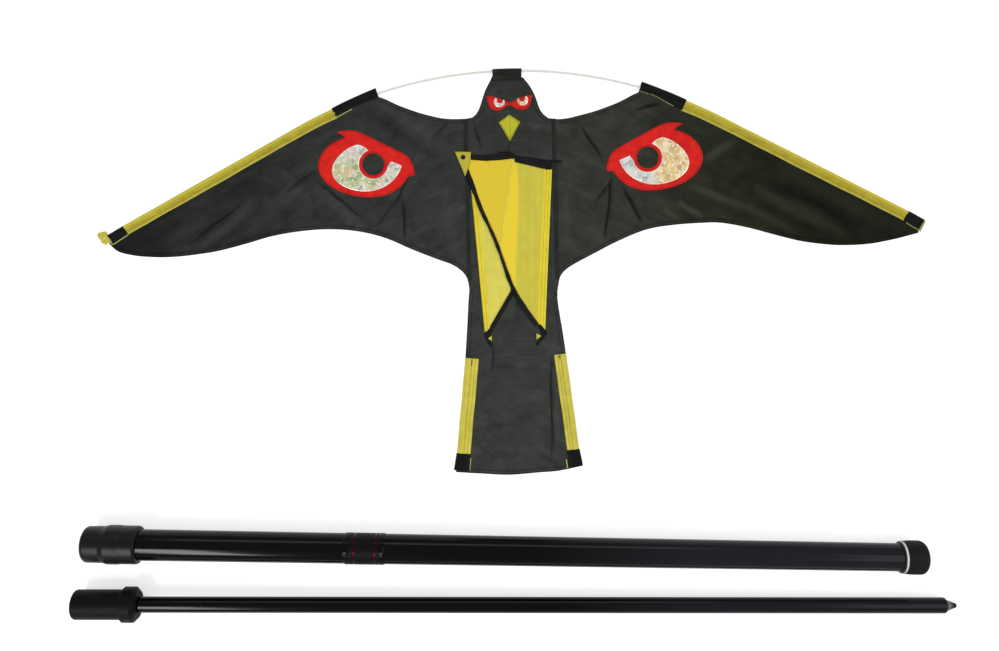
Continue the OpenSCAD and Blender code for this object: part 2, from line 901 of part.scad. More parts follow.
module tail_rod() {
  along_tail(tail_sleeve_from + 2, tail_edge - 3)
    translate([-tail_rod_w, tail_rod_z])
      circle(tail_rod_d / 2);
}

module tail_rod_left() {
  color([0.93, 0.93, 0.9])
    on_kite()
      left_side()
        tail_rod();
}

module tail_rod_right() {
  color([0.93, 0.93, 0.9])
    on_kite()
      tail_rod();
}

// Wing eye, drawn round its pupil: a red patch with hooked ends
module eye_patch() {
  brow = bez([[-57.5, -16.2], [-55.5, 11.3], [2.5, 39.3], [34.5, 47.3]], 12);
  hook = bez([[34.5, 47.3], [40.5, 48.8], [46.5, 46.8], [50, 44]], 4);
  notch = bez([[50, 44], [44.5, 42.3], [40.5, 40.3], [38, 36.8]], 4);
  outer = bez([[38, 36.8], [64.5, 31.3], [78.5, 11.3], [74.5, -4.7]], 10);
  lower = bez([[74.5, -4.7], [69.5, -31.7], [34.5, -44.7], [2.5, -45.2]], 12);
  inner = bez([[2.5, -45.2], [-21.5, -45.2], [-39.5, -34.7], [-47.5, -18.2]], 8);
  translate([eye_u, eye_v, 0])
    sheet(cloth, patch_t)
      difference() {
        polygon(concat(brow, hook, notch, outer, lower, inner));
        circle(pupil_r);
      }
}

// Silver foil crescent round the red ring of a wing eye
module eye_foil() {
  top = bez([[6.5, 19.3], [11.5, 24], [16.5, 26.8], [21.5, 26.3]], 4);
  outer = bez([[21.5, 26.3], [38.5, 22.3], [56.5, 5.3], [56.5, -11.7]], 10);
  lower = bez([[56.5, -11.7], [56.5, -30.7], [27.5, -38.7], [7.5, -38.2]], 10);
  inner = bez([[7.5, -38.2], [-19.5, -37.7], [-35.5, -16.7], [-39, -3.2]], 10);
  translate([eye_u, eye_v, 0])
    sheet(cloth + patch_t, foil_t)
      difference() {
        polygon(concat([[0, 0]], top, outer, lower, inner, [[-20.5, 2.3]]));
        circle(eye_ring_r);
      }
}

module eye_patch_left() {
  color([0.85, 0.08, 0.08])
    on_kite()
      left_side()
        eye_patch();
}

module eye_patch_right() {
  color([0.85, 0.08, 0.08])
    on_kite()
      eye_patch();
}

module eye_foil_left() {
  color([0.8, 0.82, 0.84])
    on_kite()
      left_side()
        eye_foil();
}

module eye_foil_right() {
  color([0.8, 0.82, 0.84])
    on_kite()
      eye_foil();
}

// Red mask across the head, two eyes joined by a narrow bridge
module face_mask() {
  brow = bez([[0, 1.6], [6, 1.6], [14, 11], [31, 11.5]], 8);
  cheek = bez([[31, 11.5], [28, 5], [31, -10], [15, -10]], 8);
  under = bez([[15, -10], [8, -10], [4, -1.6], [0, -1.6]], 6);
  half = concat(brow, cheek, under);
  color([0.85, 0.08, 0.08])
    on_kite()
      translate([0, mask_v, 0])
        sheet(cloth, patch_t)
          polygon(concat(half, flip(half)));
}

module face_foils() {
  color([0.8, 0.82, 0.84])
    on_kite()
      for (side = [-1, 1])
        translate([side * 16, mask_v + 1.5, 0])
          sheet(cloth + patch_t, foil_t)
            difference() {
              circle(7);
              translate([-side * 1, 2])
                circle(4.8);
              translate([-8, 3])
                square([16, 6]);
            }
}

module beak() {
  color([0.85, 0.8, 0.1])
    on_kite()
      sheet(cloth, patch_t)
        polygon([[0, 62], [beak_half, 51.5], [0, 26], [-beak_half, 51.5]]);
}

// Upper panel of the folded keel, which swings up about its right hem
module keel_panel() {
  color([0.93, 0.8, 0.1])
    on_kite()
      difference() {
        sheet(layer_flap, cloth)
          polygon(concat([hinge_top - [flap_gap, -1.5], [6, -2.5], [6, 1.2], [-54, 1], [-54, 12],
            [-76, 13]],
            free_edge, [hinge_bottom + (hinge_top - hinge_bottom) * 0.06 - [flap_gap, 0]]));
        translate([eyelet_u, eyelet_v, layer_flap - 1])
          cylinder(h = 4, d = eyelet_d + 1.3);
      }
}

// Part of the keel's other panel that is folded in under the flap
module keel_back() {
  color([0.85, 0.72, 0.1])
    on_kite()
      sheet(layer_back, cloth)
        polygon([[5, -3], [8, -70], [2, -150], [-3, -160], [-19, -116], [-40, -74], [-52, -40],
          [-50, -3]]);
}

module keel_edge_binding() {
  color([0.1, 0.1, 0.1])
    on_kite()
      sheet(layer_flap + cloth, cloth)
        polygon(concat(free_edge, [keel_foot + [-0.5, binding_w * 1.3], keel_cross + [binding_w, 2],
          [-17 + binding_w, -116], [-37.8 + binding_w, -70.5], [-55, -20]]));
}

module keel_top_binding() {
  color([0.09, 0.09, 0.09])
    on_kite()
      sheet(layer_flap + cloth, cloth)
        polygon([hinge_top + [-flap_gap - 0.2, 1.6], [6, -2.3], [6, 1.4], [-53.6, 1.2], [-53.6, 12],
          [6, 11], hinge_top + [-flap_gap - 0.2, 13]]);
}

// Doubled corner that carries the eyelet
module keel_corner() {
  color([0.93, 0.82, 0.15])
    on_kite()
      difference() {
        sheet(layer_flap + cloth, cloth)
          polygon([[-54.2, 11.8], [-75.6, 12.8], [-62, -21], [-55.4, -17]]);
        translate([eyelet_u, eyelet_v, layer_flap - 1])
          cylinder(h = 5, d = eyelet_d + 1.3);
      }
}

module keel_eyelet() {
  top = layer_flap + 2 * cloth;
  color([0.75, 0.75, 0.75])
    on_kite()
      translate([eyelet_u, eyelet_v, 0])
        difference() {
          union() {
            translate([0, 0, top])
              cylinder(h = 0.5, d = eyelet_flange_d);
            translate([0, 0, layer_flap - 0.5])
              cylinder(h = 0.5, d = eyelet_flange_d);
            translate([0, 0, layer_flap - 0.5])
              cylinder(h = 2 * cloth + 1, d = eyelet_d + 1.2);
          }
          translate([0, 0, layer_flap - 2])
            cylinder(h = 2 * cloth + 5, d = eyelet_d);
        }
}

// Lower panel of the keel, sewn to the sail along its left seam and lying flat
module keel_side() {
  color([0.9, 0.76, 0.1])
    on_kite()
      sheet(layer_side, cloth)
        polygon([[-keel_top_u, keel_top_v], [5, -3], [8, -70], [2, -160], [-2, -181],
          [1 - keel_bottom_u, keel_bottom_v + 1], [-keel_bottom_u, keel_bottom_v]]);
}

module keel_side_binding() {
  color([0.1, 0.1, 0.1])
    on_kite()
      sheet(layer_side + cloth, cloth)
        polygon([[-2.4, -182], [1 - keel_bottom_u, keel_bottom_v + 1],
          [-keel_bottom_u, keel_bottom_v + 9],
          [-4, -172]]);
}

module keel_hem_right() {
  color([0.9, 0.78, 0.1])
    on_kite()
      sheet(cloth, flap_mid - cloth)
        polygon([hinge_top, hinge_bottom, [keel_bottom_u, keel_bottom_v], [keel_top_u, keel_top_v]]);
}

module keel_hem_left() {
  color([0.9, 0.78, 0.1])
    on_kite()
      sheet(layer_side + cloth, 0.4)
        polygon([[-keel_top_u + 2.4, -50], [-keel_bottom_u + 0.2, keel_bottom_v + 10],
          [-keel_bottom_u + hem_w, keel_bottom_v + 24], [-keel_top_u + hem_w + 1, -64]]);
}

// Ends of the binding tapes, tacked to the sail under the keel
module keel_tabs() {
  color([0.1, 0.1, 0.1])
    on_kite()
      for (side = [-1, 1])
        sheet(cloth, 0.6)
          polygon([[side * 37, keel_bottom_v - 1], [side * 30, keel_bottom_v - 1], [side * 30, -250],
            [side * 34, -253]]);
}

pole_section_1();
pole_section_2();
pole_section_3();
pole_section_4();
pole_section_5();
pole_section_6();
butt_cap();
tip_cap();
tip_cap_ring();
whipping_band();
whipping_rings();
tip_ferrule();
tip_swivel();
stake_tube();
stake_point();
plug_sleeve();
plug_collar();
plug_core();
body_panel();
wing_panel_left();
wing_panel_right();
seam_tapes();
head_pocket();
spar_left();
spar_right();
spar_ferrule();
wing_sleeve_left();
wing_sleeve_right();
inner_pocket_left();
inner_pocket_right();
tip_pocket_left();
tip_pocket_right();
tip_tie_left();
tip_tie_right();
tail_sleeve_left();
tail_sleeve_right();
tail_pocket_left();
tail_pocket_right();
tail_rod_left();
tail_rod_right();
eye_patch_left();
eye_patch_right();
eye_foil_left();
eye_foil_right();
face_mask();
face_foils();
beak();
keel_panel();
keel_back();
keel_edge_binding();
keel_top_binding();
keel_corner();
keel_eyelet();
keel_side();
keel_side_binding();
keel_hem_right();
keel_hem_left();
keel_tabs();
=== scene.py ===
"""Bird scarer kite set laid out flat: hawk kite, telescopic pole drawn in, and ground stake."""
import bpy, math
import numpy as np
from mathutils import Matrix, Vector
from mathutils.geometry import delaunay_2d_cdt


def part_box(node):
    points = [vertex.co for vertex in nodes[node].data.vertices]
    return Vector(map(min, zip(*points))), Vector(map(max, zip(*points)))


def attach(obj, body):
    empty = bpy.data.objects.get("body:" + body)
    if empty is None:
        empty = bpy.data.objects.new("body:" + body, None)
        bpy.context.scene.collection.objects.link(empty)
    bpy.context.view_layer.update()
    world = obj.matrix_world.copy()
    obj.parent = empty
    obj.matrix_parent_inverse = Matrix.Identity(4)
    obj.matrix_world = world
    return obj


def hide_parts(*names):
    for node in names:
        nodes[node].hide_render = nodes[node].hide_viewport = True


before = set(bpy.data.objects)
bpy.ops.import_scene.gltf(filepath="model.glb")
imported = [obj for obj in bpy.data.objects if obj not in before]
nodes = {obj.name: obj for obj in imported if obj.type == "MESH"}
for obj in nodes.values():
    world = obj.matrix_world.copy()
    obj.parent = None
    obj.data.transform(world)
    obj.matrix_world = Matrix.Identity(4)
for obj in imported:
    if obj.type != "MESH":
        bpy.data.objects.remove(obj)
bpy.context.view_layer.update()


# Camera: looks straight down on the laid-out set from 1.25 m, as the photograph does.
# The image is 999 x 651, and its up is the way the kite's head points.
eye = bpy.data.cameras.new("overhead")
eye.sensor_fit, eye.sensor_width, eye.lens = "HORIZONTAL", 36.0, 32.93
eye.clip_start, eye.clip_end = 0.01, 50
overhead = bpy.data.objects.new("overhead", eye)
overhead.location = (-0.02495, 0.02275, 1.25)
bpy.context.scene.collection.objects.link(overhead)
bpy.context.scene.camera = overhead
bpy.context.scene.view_settings.view_transform = "Standard"


# Sail: charcoal nylon in three panels, a body with head and tail and two wings, sewn together at
# the shoulders. The edges are turned over in a narrow hem, and old packing folds still show.
KITE_AT, KITE_TURN = (-10.0, 249.0), math.radians(1.4)
SEAM_U = 60.0
SPAR_V, BEND_R, SWEEP, ROD_Z = 121.4, 611.5, math.radians(28.2), 2.6
ARC_END = BEND_R * SWEEP
# Edges of the sail in mm, left and right, which lie a little unlike: distance from the axis, and level
FRONT_EDGE = {
    -1: [(60, 57.8), (71, 57.7), (83, 58.1), (96, 60), (120, 66.5), (144, 75.3), (157, 81.1), (169, 87.2),
         (179.5, 91)],
    1: [(60, 54.8), (69, 54.2), (81, 55.4), (93, 58), (118, 64.2), (143, 72.7), (155, 77.8), (168, 84.3),
        (179.8, 89.5)]}
REAR_EDGE = {
    -1: [(60, -180), (61.6, -166), (64.4, -157.7), (71, -149.4), (84, -140.6), (104.3, -132.7), (137, -119.1),
         (175, -101.9), (213, -92.1), (251, -88.6), (289, -90.4), (328, -96.2), (366, -106.1), (405, -115.1),
         (443, -119.9), (475, -121.4), (501, -120.1), (520, -117.5), (539, -112), (551.9, -100.5)],
    1: [(60, -180), (62.2, -168), (65, -159.5), (73, -150.9), (87, -142.5), (106, -133), (145, -114),
        (184, -99.5),
        (222, -94.1), (260, -92.3), (285, -92.8), (318, -99.3), (356, -110.2), (394, -120.4), (432, -126.2),
        (460, -127.6), (489, -126.4), (508, -123.5), (528, -119.7), (555.5, -113)]}
BODY_EDGE = {
    -1: [(21.8, 116), (26.3, 106.6), (29.4, 101.2), (32.1, 95.8), (34.2, 90.4), (36, 85), (38, 79.5),
         (39.7, 74.1),
         (42, 68.7), (45.6, 63.3), (51, 59.2), (60, 57.8), (60, -170), (61, -182), (62, -190.6),
         (63.5, -212.5),
         (65.2, -234), (70.8, -300), (75.5, -343), (80.7, -387), (85.4, -424.6)],
    1: [(17.8, 115), (25.6, 105.3), (29.3, 99.8), (32.4, 94.2), (35.1, 88.7), (37, 83.2), (38.8, 77.7),
        (40.4, 72.2),
        (42.8, 66.6), (46.9, 61.1), (53, 56), (60, 54.8), (60, -178), (59.6, -190), (60.4, -200),
        (62.6, -215.5),
        (65.8, -237.5), (73.8, -303), (78.2, -347), (82.7, -391), (86.8, -420.6)]}
TAIL_EDGE = [(-85.4, -424.6), (-54, -427.3), (-13, -430.1), (28, -427.9), (55, -426.4), (86.8, -420.6)]
# Folds that packing left in the cloth: from u, v to u, v, height and half width in mm
PACK_FOLDS = np.array([
    [-210, 84, -90, -4, -1.3, 9], [-196, 92, -74, 10, 0.9, 14], [-270, -18, -200, -80, -1.1, 5],
    [-266, -30, -196, -92, 0.8, 9], [-264, -6, -308, -36, -0.9, 5], [-440, -119, -352, -52, 1.5, 8],
    [-446, -108, -362, -46, -1.0, 6], [-400, -44, -342, -11, -1.1, 8], [-405, -60, -330, -40, 0.9, 10],
    [-149, -50, -147, -108, -1.0, 4.5], [-140, -16, -160, -58, -0.9, 4.5], [-156, -46, -188, -92, -0.7, 4.5],
    [-84, 56, -108, 29, -0.9, 4.5], [-350, -64, -272, -22, 1.0, 9], [-330, -92, -250, -60, -0.6, 8],
    [-480, -100, -410, -70, 0.8, 11], [-320, 4, -290, -40, 0.6, 8], [-230, -84, -215, -70, 0.7, 5],
    [330, -44, 462, -116, 1.7, 9], [345, -37, 480, -107, -1.3, 10], [360, -11, 508, -100, 0.9, 13],
    [226, -61, 262, -85, 1.4, 4], [152, -38, 178, -90, -1.1, 4.5], [138, -22, 126, -114, -1.0, 4.5],
    [96, 46, 127, -2, -1.0, 4.5], [262, -8, 310, 21, 1.2, 6], [240, -40, 330, -76, 1.1, 6],
    [318, -70, 392, -112, 1.2, 6],
    [380, -60, 440, -90, 0.9, 5], [205, -72, 232, -92, 0.9, 4], [290, -50, 330, -20, -0.7, 8],
    [180, -60, 235, -70, 0.6, 9], [300, -95, 360, -110, 0.8, 10], [140, -30, 112, -62, -0.7, 5],
    [170, 62, 210, 74, -0.8, 7], [110, 30, 165, 70, 0.6, 12], [-61, 46, -63, 12, -0.8, 6],
    [-49, 52, -38.5, 14, -0.9, 6], [-1, 30, -4, 6, -0.6, 6], [60, 52, 62, -150, -0.6, 7],
    [-60, 52, -61, 14, -0.5, 6], [28, 60, 40, 30, 0.5, 8],
    [49, -262, 47, -416, -1.1, 5], [55, -262, 53, -416, 0.8, 5], [-30, -252, -31, -290, -0.7, 5],
    [-64, -379, -22, -412, -0.35, 6], [-58, -372, -10, -404, 0.2, 8], [10, -280, -20, -330, 0.35, 14],
    [-40, -300, 20, -352, -0.2, 12], [29, 42.8, 47, 46.5, 0.8, 2.5], [76, -30, 70, -140, 0.5, 9],
    [-92, -30, -78, -140, 0.5, 10]], float)


def cubic(p0, p1, p2, p3, n):
    """Points of a cubic curve: sum of the four control points by the weights of (1 - t + t)^3."""
    t = np.linspace(0, 1, n + 1)[:, None]
    p = [np.array(q, float) for q in (p0, p1, p2, p3)]
    return (1 - t)**3 * p[0] + 3*(1 - t)**2*t * p[1] + 3*(1 - t)*t*t * p[2] + t**3 * p[3]


def on_spar(l, w):
    """Plan of the right wing's spar, l along it from the middle and w in front of it: a circle up to
    the end of the bend, then a straight line in the direction that the circle ends in."""
    a = np.minimum(l, ARC_END) / BEND_R
    on = np.maximum(l - ARC_END, 0)
    return ((BEND_R + w)*np.sin(a) + on*math.cos(SWEEP),
            SPAR_V - BEND_R + (BEND_R + w)*np.cos(a) - on*math.sin(SWEEP))


def through(points, n=8):
    """A smooth line through points: each stretch is the cubic that leaves and arrives along the chords
    between its neighbours, p(t) = b + ((c-a)t + (2a-5b+4c-d)t^2 + (3b-a-3c+d)t^3)/2."""
    p = np.array(points, float)
    p = np.concatenate([[2*p[0] - p[1]], p, [2*p[-1] - p[-2]]])
    t = np.linspace(0, 1, n, endpoint=False)[None, :, None]
    a, b, c, d = (p[k:len(p) - 3 + k, None] for k in range(4))
    on = b + 0.5*((c - a)*t + (2*a - 5*b + 4*c - d)*t**2 + (3*b - a - 3*c + d)*t**3)
    return np.concatenate([on.reshape(-1, 2), p[-2:-1]])


front_line, rear_line = {}, {}
for way, last in ((-1, 598.0), (1, 606.0)):
    run = np.linspace(184, last, 80)
    seam = np.stack(on_spar(run, np.interp(run, [184, 248, 262], [-3.5, -3.5, -7.5])), 1)
    front_line[way] = np.concatenate([through(FRONT_EDGE[way], 6), seam, [REAR_EDGE[way][-1]]])
    rear_line[way] = through(REAR_EDGE[way])


def pack_folds(u, v):
    """Sum of the packing folds: for each its height times exp(-(distance / width)^2), and a sine over
    its length; the line that a fold keeps to wavers a little. Returns it soft, for the lie of the cloth,
    and again for the painted shade and highlight of the folds, with the bottom of each narrow hollow
    drawn sharp, 1.7 mm wide, and a paler strip beside it."""
    u, v = np.broadcast_arrays(np.asarray(u, float), np.asarray(v, float))
    soft, keen = np.full(u.shape, 0.0), np.full(u.shape, 0.0)
    waver = 0.7*np.sin(u/11 + v/17) + 0.4*np.sin(u/5.3 - v/7.7)
    for a0, b0, a1, b1, high, wide in PACK_FOLDS:
        run = np.array([a1 - a0, b1 - b0])
        t = ((u - a0)*run[0] + (v - b0)*run[1]) / (run @ run)
        off = ((u - a0)*run[1] - (v - b0)*run[0]) / np.sqrt(run @ run) + waver
        fade = np.sin(np.pi*np.clip(t, 0, 1))**0.6
        soft = soft + high*np.exp(-(off/wide)**2) * fade
        keen = keen + (min(high, 0) if wide < 8 else 0)*fade*(np.exp(-(off/1.7)**2)
                                                              - 0.45*np.exp(-((off - 3.6)/2.2)**2))
    return soft, 0.5*soft + 0.3*np.maximum(soft, 0) + keen


def lie(u, v):
    """Height of the cloth over the floor in mm: a slow swell of sines and the packing folds, all calmed
    at sewn edges."""
    u, v = np.broadcast_arrays(np.asarray(u, float), np.asarray(v, float))
    out = pack_folds(u, v)[0]*1.25
    out = out + 0.28*np.sin(u/21 + v/34 + 0.6) + 0.22*np.sin(u/13.7 - v/16.3) + 0.12*np.sin(u/7.1 + v/5.9 + 2)
    front = [np.interp(np.abs(u), front_line[way][:, 0], front_line[way][:, 1]) - v for way in (-1, 1)]
    front = np.where(u < 0, front[0], front[1])
    calm = np.where(np.abs(u) > SEAM_U, np.clip((front - 9)/34, 0.1, 1), 1.0)
    keel = (np.abs(u) < 62) & (v < 18) & (v > -262)
    tail = np.where(v < -262, np.clip((58 + (-262 - v)*0.1 - np.abs(u))/20, 0.15, 1), 1.0)
    return np.maximum(1.0 + out*calm*np.where(keel, 0.2, 1.0)*tail, 0.45)


def painted_falloff(u, v):
    """Painted light and shade over the cloth, as three factors of its colour: darker towards the wing tips,
    most of all on the right, where it is also warmer, and palest in the tail."""
    u, v = np.broadcast_arrays(np.asarray(u, float), np.asarray(v, float))
    at = [-560, -500, -450, -340, -290, -60, 60, 170, 220, 300, 350, 430, 500, 560]
    tone = np.interp(u, at, [0.36, 0.42, 0.70, 0.74, 0.97, 1.17, 1.18, 1.10, 0.78, 0.64, 0.44, 0.31, 0.36,
                             0.42])
    tone = tone*np.interp(v, [-300, -190, -60], [1.10, 1.08, 1.0])
    warm = np.clip((u - 40)/300, 0, 1)
    return tone[..., None]*np.stack([1.0 + 0.02*warm, 1.04 - 0.03*warm, 1 - 0.36*warm], -1)


def on_kite(u, v, z):
    """The kite's own u, v, z in mm to the frame in metres: turned about Z and moved to its place."""
    c, s = math.cos(KITE_TURN), math.sin(KITE_TURN)
    u, v, z = np.broadcast_arrays(u, v, z)
    return np.stack([KITE_AT[0] + c*u - s*v, KITE_AT[1] + s*u + c*v, z], -1) / 1000


def off_line(u, v, line):
    """Least distance of each point from a line of points: the foot on each stretch, held to its ends."""
    p = np.stack([np.ravel(u), np.ravel(v)], -1)[:, None]
    a, d = line[:-1][None], np.diff(line, axis=0)[None]
    t = np.clip(((p - a)*d).sum(-1) / np.maximum((d*d).sum(-1), 1e-9), 0, 1)
    return np.linalg.norm(p - a - t[..., None]*d, axis=-1).min(1).reshape(np.shape(u))


def put_mesh(name, points, faces, uv, paint, thick=0.0, edge=None):
    """A mesh object from points in metres, faces, and one uv for each point, with the painted material.
    thick, in mm, gives a sheet its second side below it, and edge is kept as the attribute edge_mm."""
    mesh = bpy.data.meshes.new(name)
    mesh.from_pydata(points.reshape(-1, 3).tolist(), [], [list(map(int, f)) for f in faces])
    corner = np.zeros(len(mesh.loops), int)
    mesh.loops.foreach_get("vertex_index", corner)
    mesh.uv_layers.new(name="cloth").data.foreach_set("uv", uv.reshape(-1, 2)[corner].ravel())
    if edge is not None:
        mesh.attributes.new("edge_mm", "FLOAT", "POINT").data.foreach_set("value",
                                                                          np.ravel(edge).astype(float))
    mesh.shade_smooth()
    mesh.materials.append(paint)
    made = bpy.data.objects.new(name, mesh)
    bpy.context.scene.collection.objects.link(made)
    if thick:
        wall = made.modifiers.new("thickness", "SOLIDIFY")
        wall.thickness, wall.offset = thick/1000, -1
    return made


def net_faces(rows, cols, turned=False, closed=False):
    """Four-cornered faces of a net of rows x cols points; closed joins the last column to the first."""
    i, j = np.meshgrid(np.arange(rows - 1), np.arange(cols if closed else cols - 1), indexing="ij")
    k = (j + 1) % cols
    f = np.stack([i*cols + j, i*cols + k, (i + 1)*cols + k, (i + 1)*cols + j], -1).reshape(-1, 4)
    return f[:, ::-1] if turned else f


def add(tree, kind, inputs=(), **settings):
    """One shader node: settings are its own values, inputs its sockets' values or links by name."""
    n = tree.nodes.new(kind)
    for key, value in settings.items():
        setattr(n, key, value)
    for key, value in dict(inputs).items():
        if isinstance(value, bpy.types.NodeSocket):
            tree.links.new(value, n.inputs[key])
        else:
            n.inputs[key].default_value = value
    return n


def maths(tree, kind, a, b=0.0, clamp=False):
    """One step of arithmetic on two values or links, as its output."""
    return add(tree, "ShaderNodeMath", {0: a, 1: b}, operation=kind, use_clamp=clamp).outputs[0]


def blend_colour(tree, share, a, b):
    """Colour a where share is 0 and colour b where it is 1."""
    n = tree.nodes.new("ShaderNodeMix")
    n.data_type = "RGBA"
    for key, value in ((0, share), (6, a), (7, b)):
        if isinstance(value, bpy.types.NodeSocket):
            tree.links.new(value, n.inputs[key])
        else:
            n.inputs[key].default_value = value if key == 0 else (*value, 1)
    return n.outputs[2]


def effect(name, inputs, outputs):
    """An empty shader group with float sockets, Vector for the coordinates, and its two end nodes."""
    group = bpy.data.node_groups.new(name, "ShaderNodeTree")
    for key, value in inputs:
        s = group.interface.new_socket(name=key, in_out="INPUT",
                                       socket_type="NodeSocketVector" if key == "Vector" else "NodeSocketFloat")
        if key != "Vector":
            s.default_value = value
    for key in outputs:
        group.interface.new_socket(name=key, in_out="OUTPUT", socket_type="NodeSocketFloat")
    return group, group.nodes.new("NodeGroupInput").outputs, group.nodes.new("NodeGroupOutput").inputs


def use(tree, group, inputs):
    """Puts a group in a material, with its inputs set or linked, and gives its outputs."""
    n = add(tree, "ShaderNodeGroup", node_tree=group)
    for key, value in inputs.items():
        if isinstance(value, bpy.types.NodeSocket):
            tree.links.new(value, n.inputs[key])
        else:
            n.inputs[key].default_value = value
    return n.outputs


def paint(name, **sockets):
    """A new material: its name, node tree and Principled shader, whose plain sockets are set here."""
    m = bpy.data.materials.new(name)
    m.use_nodes = True
    shader = m.node_tree.nodes["Principled BSDF"]
    for key, value in sockets.items():
        value = (*value, 1) if key in ("Base_Color", "Sheen_Tint", "Specular_Tint") else value
        shader.inputs[key.replace("_", " ")].default_value = value
    return m, m.node_tree, shader.inputs


# Weave: two sets of threads at a pitch, each a rounded ridge, in a chequer of over and under.
weave, w_in, w_out = effect("weave", [("Vector", 0), ("Threads", 2600.0)], ["Height"])
xyz = add(weave, "ShaderNodeSeparateXYZ", {0: w_in["Vector"]}).outputs
turns = maths(weave, "MULTIPLY", w_in["Threads"], math.pi)
warp = maths(weave, "SINE", maths(weave, "MULTIPLY", xyz[0], turns))
weft = maths(weave, "SINE", maths(weave, "MULTIPLY", xyz[1], turns))
cell = maths(weave, "MULTIPLY", warp, weft)
weave.links.new(maths(weave, "MULTIPLY_ADD", cell, 0.5), w_out["Height"])
# Crumple: the small creases of thin nylon, ridges of two noises; Shade is their broad light and dark.
crumple, c_in, c_out = effect("crumple", [("Vector", 0), ("Size", 40.0)], ["Height", "Shade"])
broad = add(crumple, "ShaderNodeTexNoise", {"Vector": c_in["Vector"], "Scale": c_in["Size"], "Detail": 4.0,
                                            "Roughness": 0.55, "Distortion": 0.7}).outputs[0]
sharp = add(crumple, "ShaderNodeTexNoise", {"Vector": c_in["Vector"], "Detail": 2.0, "Distortion": 1.2,
                                            "Scale": maths(crumple, "MULTIPLY", c_in["Size"], 2.3)}).outputs[0]
ridge = maths(crumple, "ABSOLUTE", maths(crumple, "SUBTRACT", sharp, 0.5))
crumple.links.new(maths(crumple, "SUBTRACT", broad, ridge), c_out["Height"])
crumple.links.new(add(crumple, "ShaderNodeMapRange", {0: broad, 1: 0.3, 2: 0.7}).outputs[0], c_out["Shade"])
# Stitching: thread marks in a row at a given distance across; Thread is where they are, Dip pulls in.
stitching, s_in, s_out = effect("stitching", [("Along", 0), ("Across", 0), ("Line", 0.01), ("Width", 0.0007),
                                              ("Pitch", 0.003)], ["Thread", "Dip"])
gap = maths(stitching, "ABSOLUTE", maths(stitching, "SUBTRACT", s_in["Across"], s_in["Line"]))
row = add(stitching, "ShaderNodeMapRange", {0: gap, 1: s_in["Width"], 2: 0.0}).outputs[0]
step = maths(stitching, "FRACT", maths(stitching, "DIVIDE", s_in["Along"], s_in["Pitch"]))
dash = maths(stitching, "LESS_THAN", step, 0.78)
stitching.links.new(maths(stitching, "MULTIPLY", row, dash), s_out["Thread"])
wide = add(stitching, "ShaderNodeMapRange", {0: gap, 1: 0.0,
                                             2: maths(stitching, "MULTIPLY", s_in["Width"], 3.0)})
stitching.links.new(wide.outputs[0], s_out["Dip"])


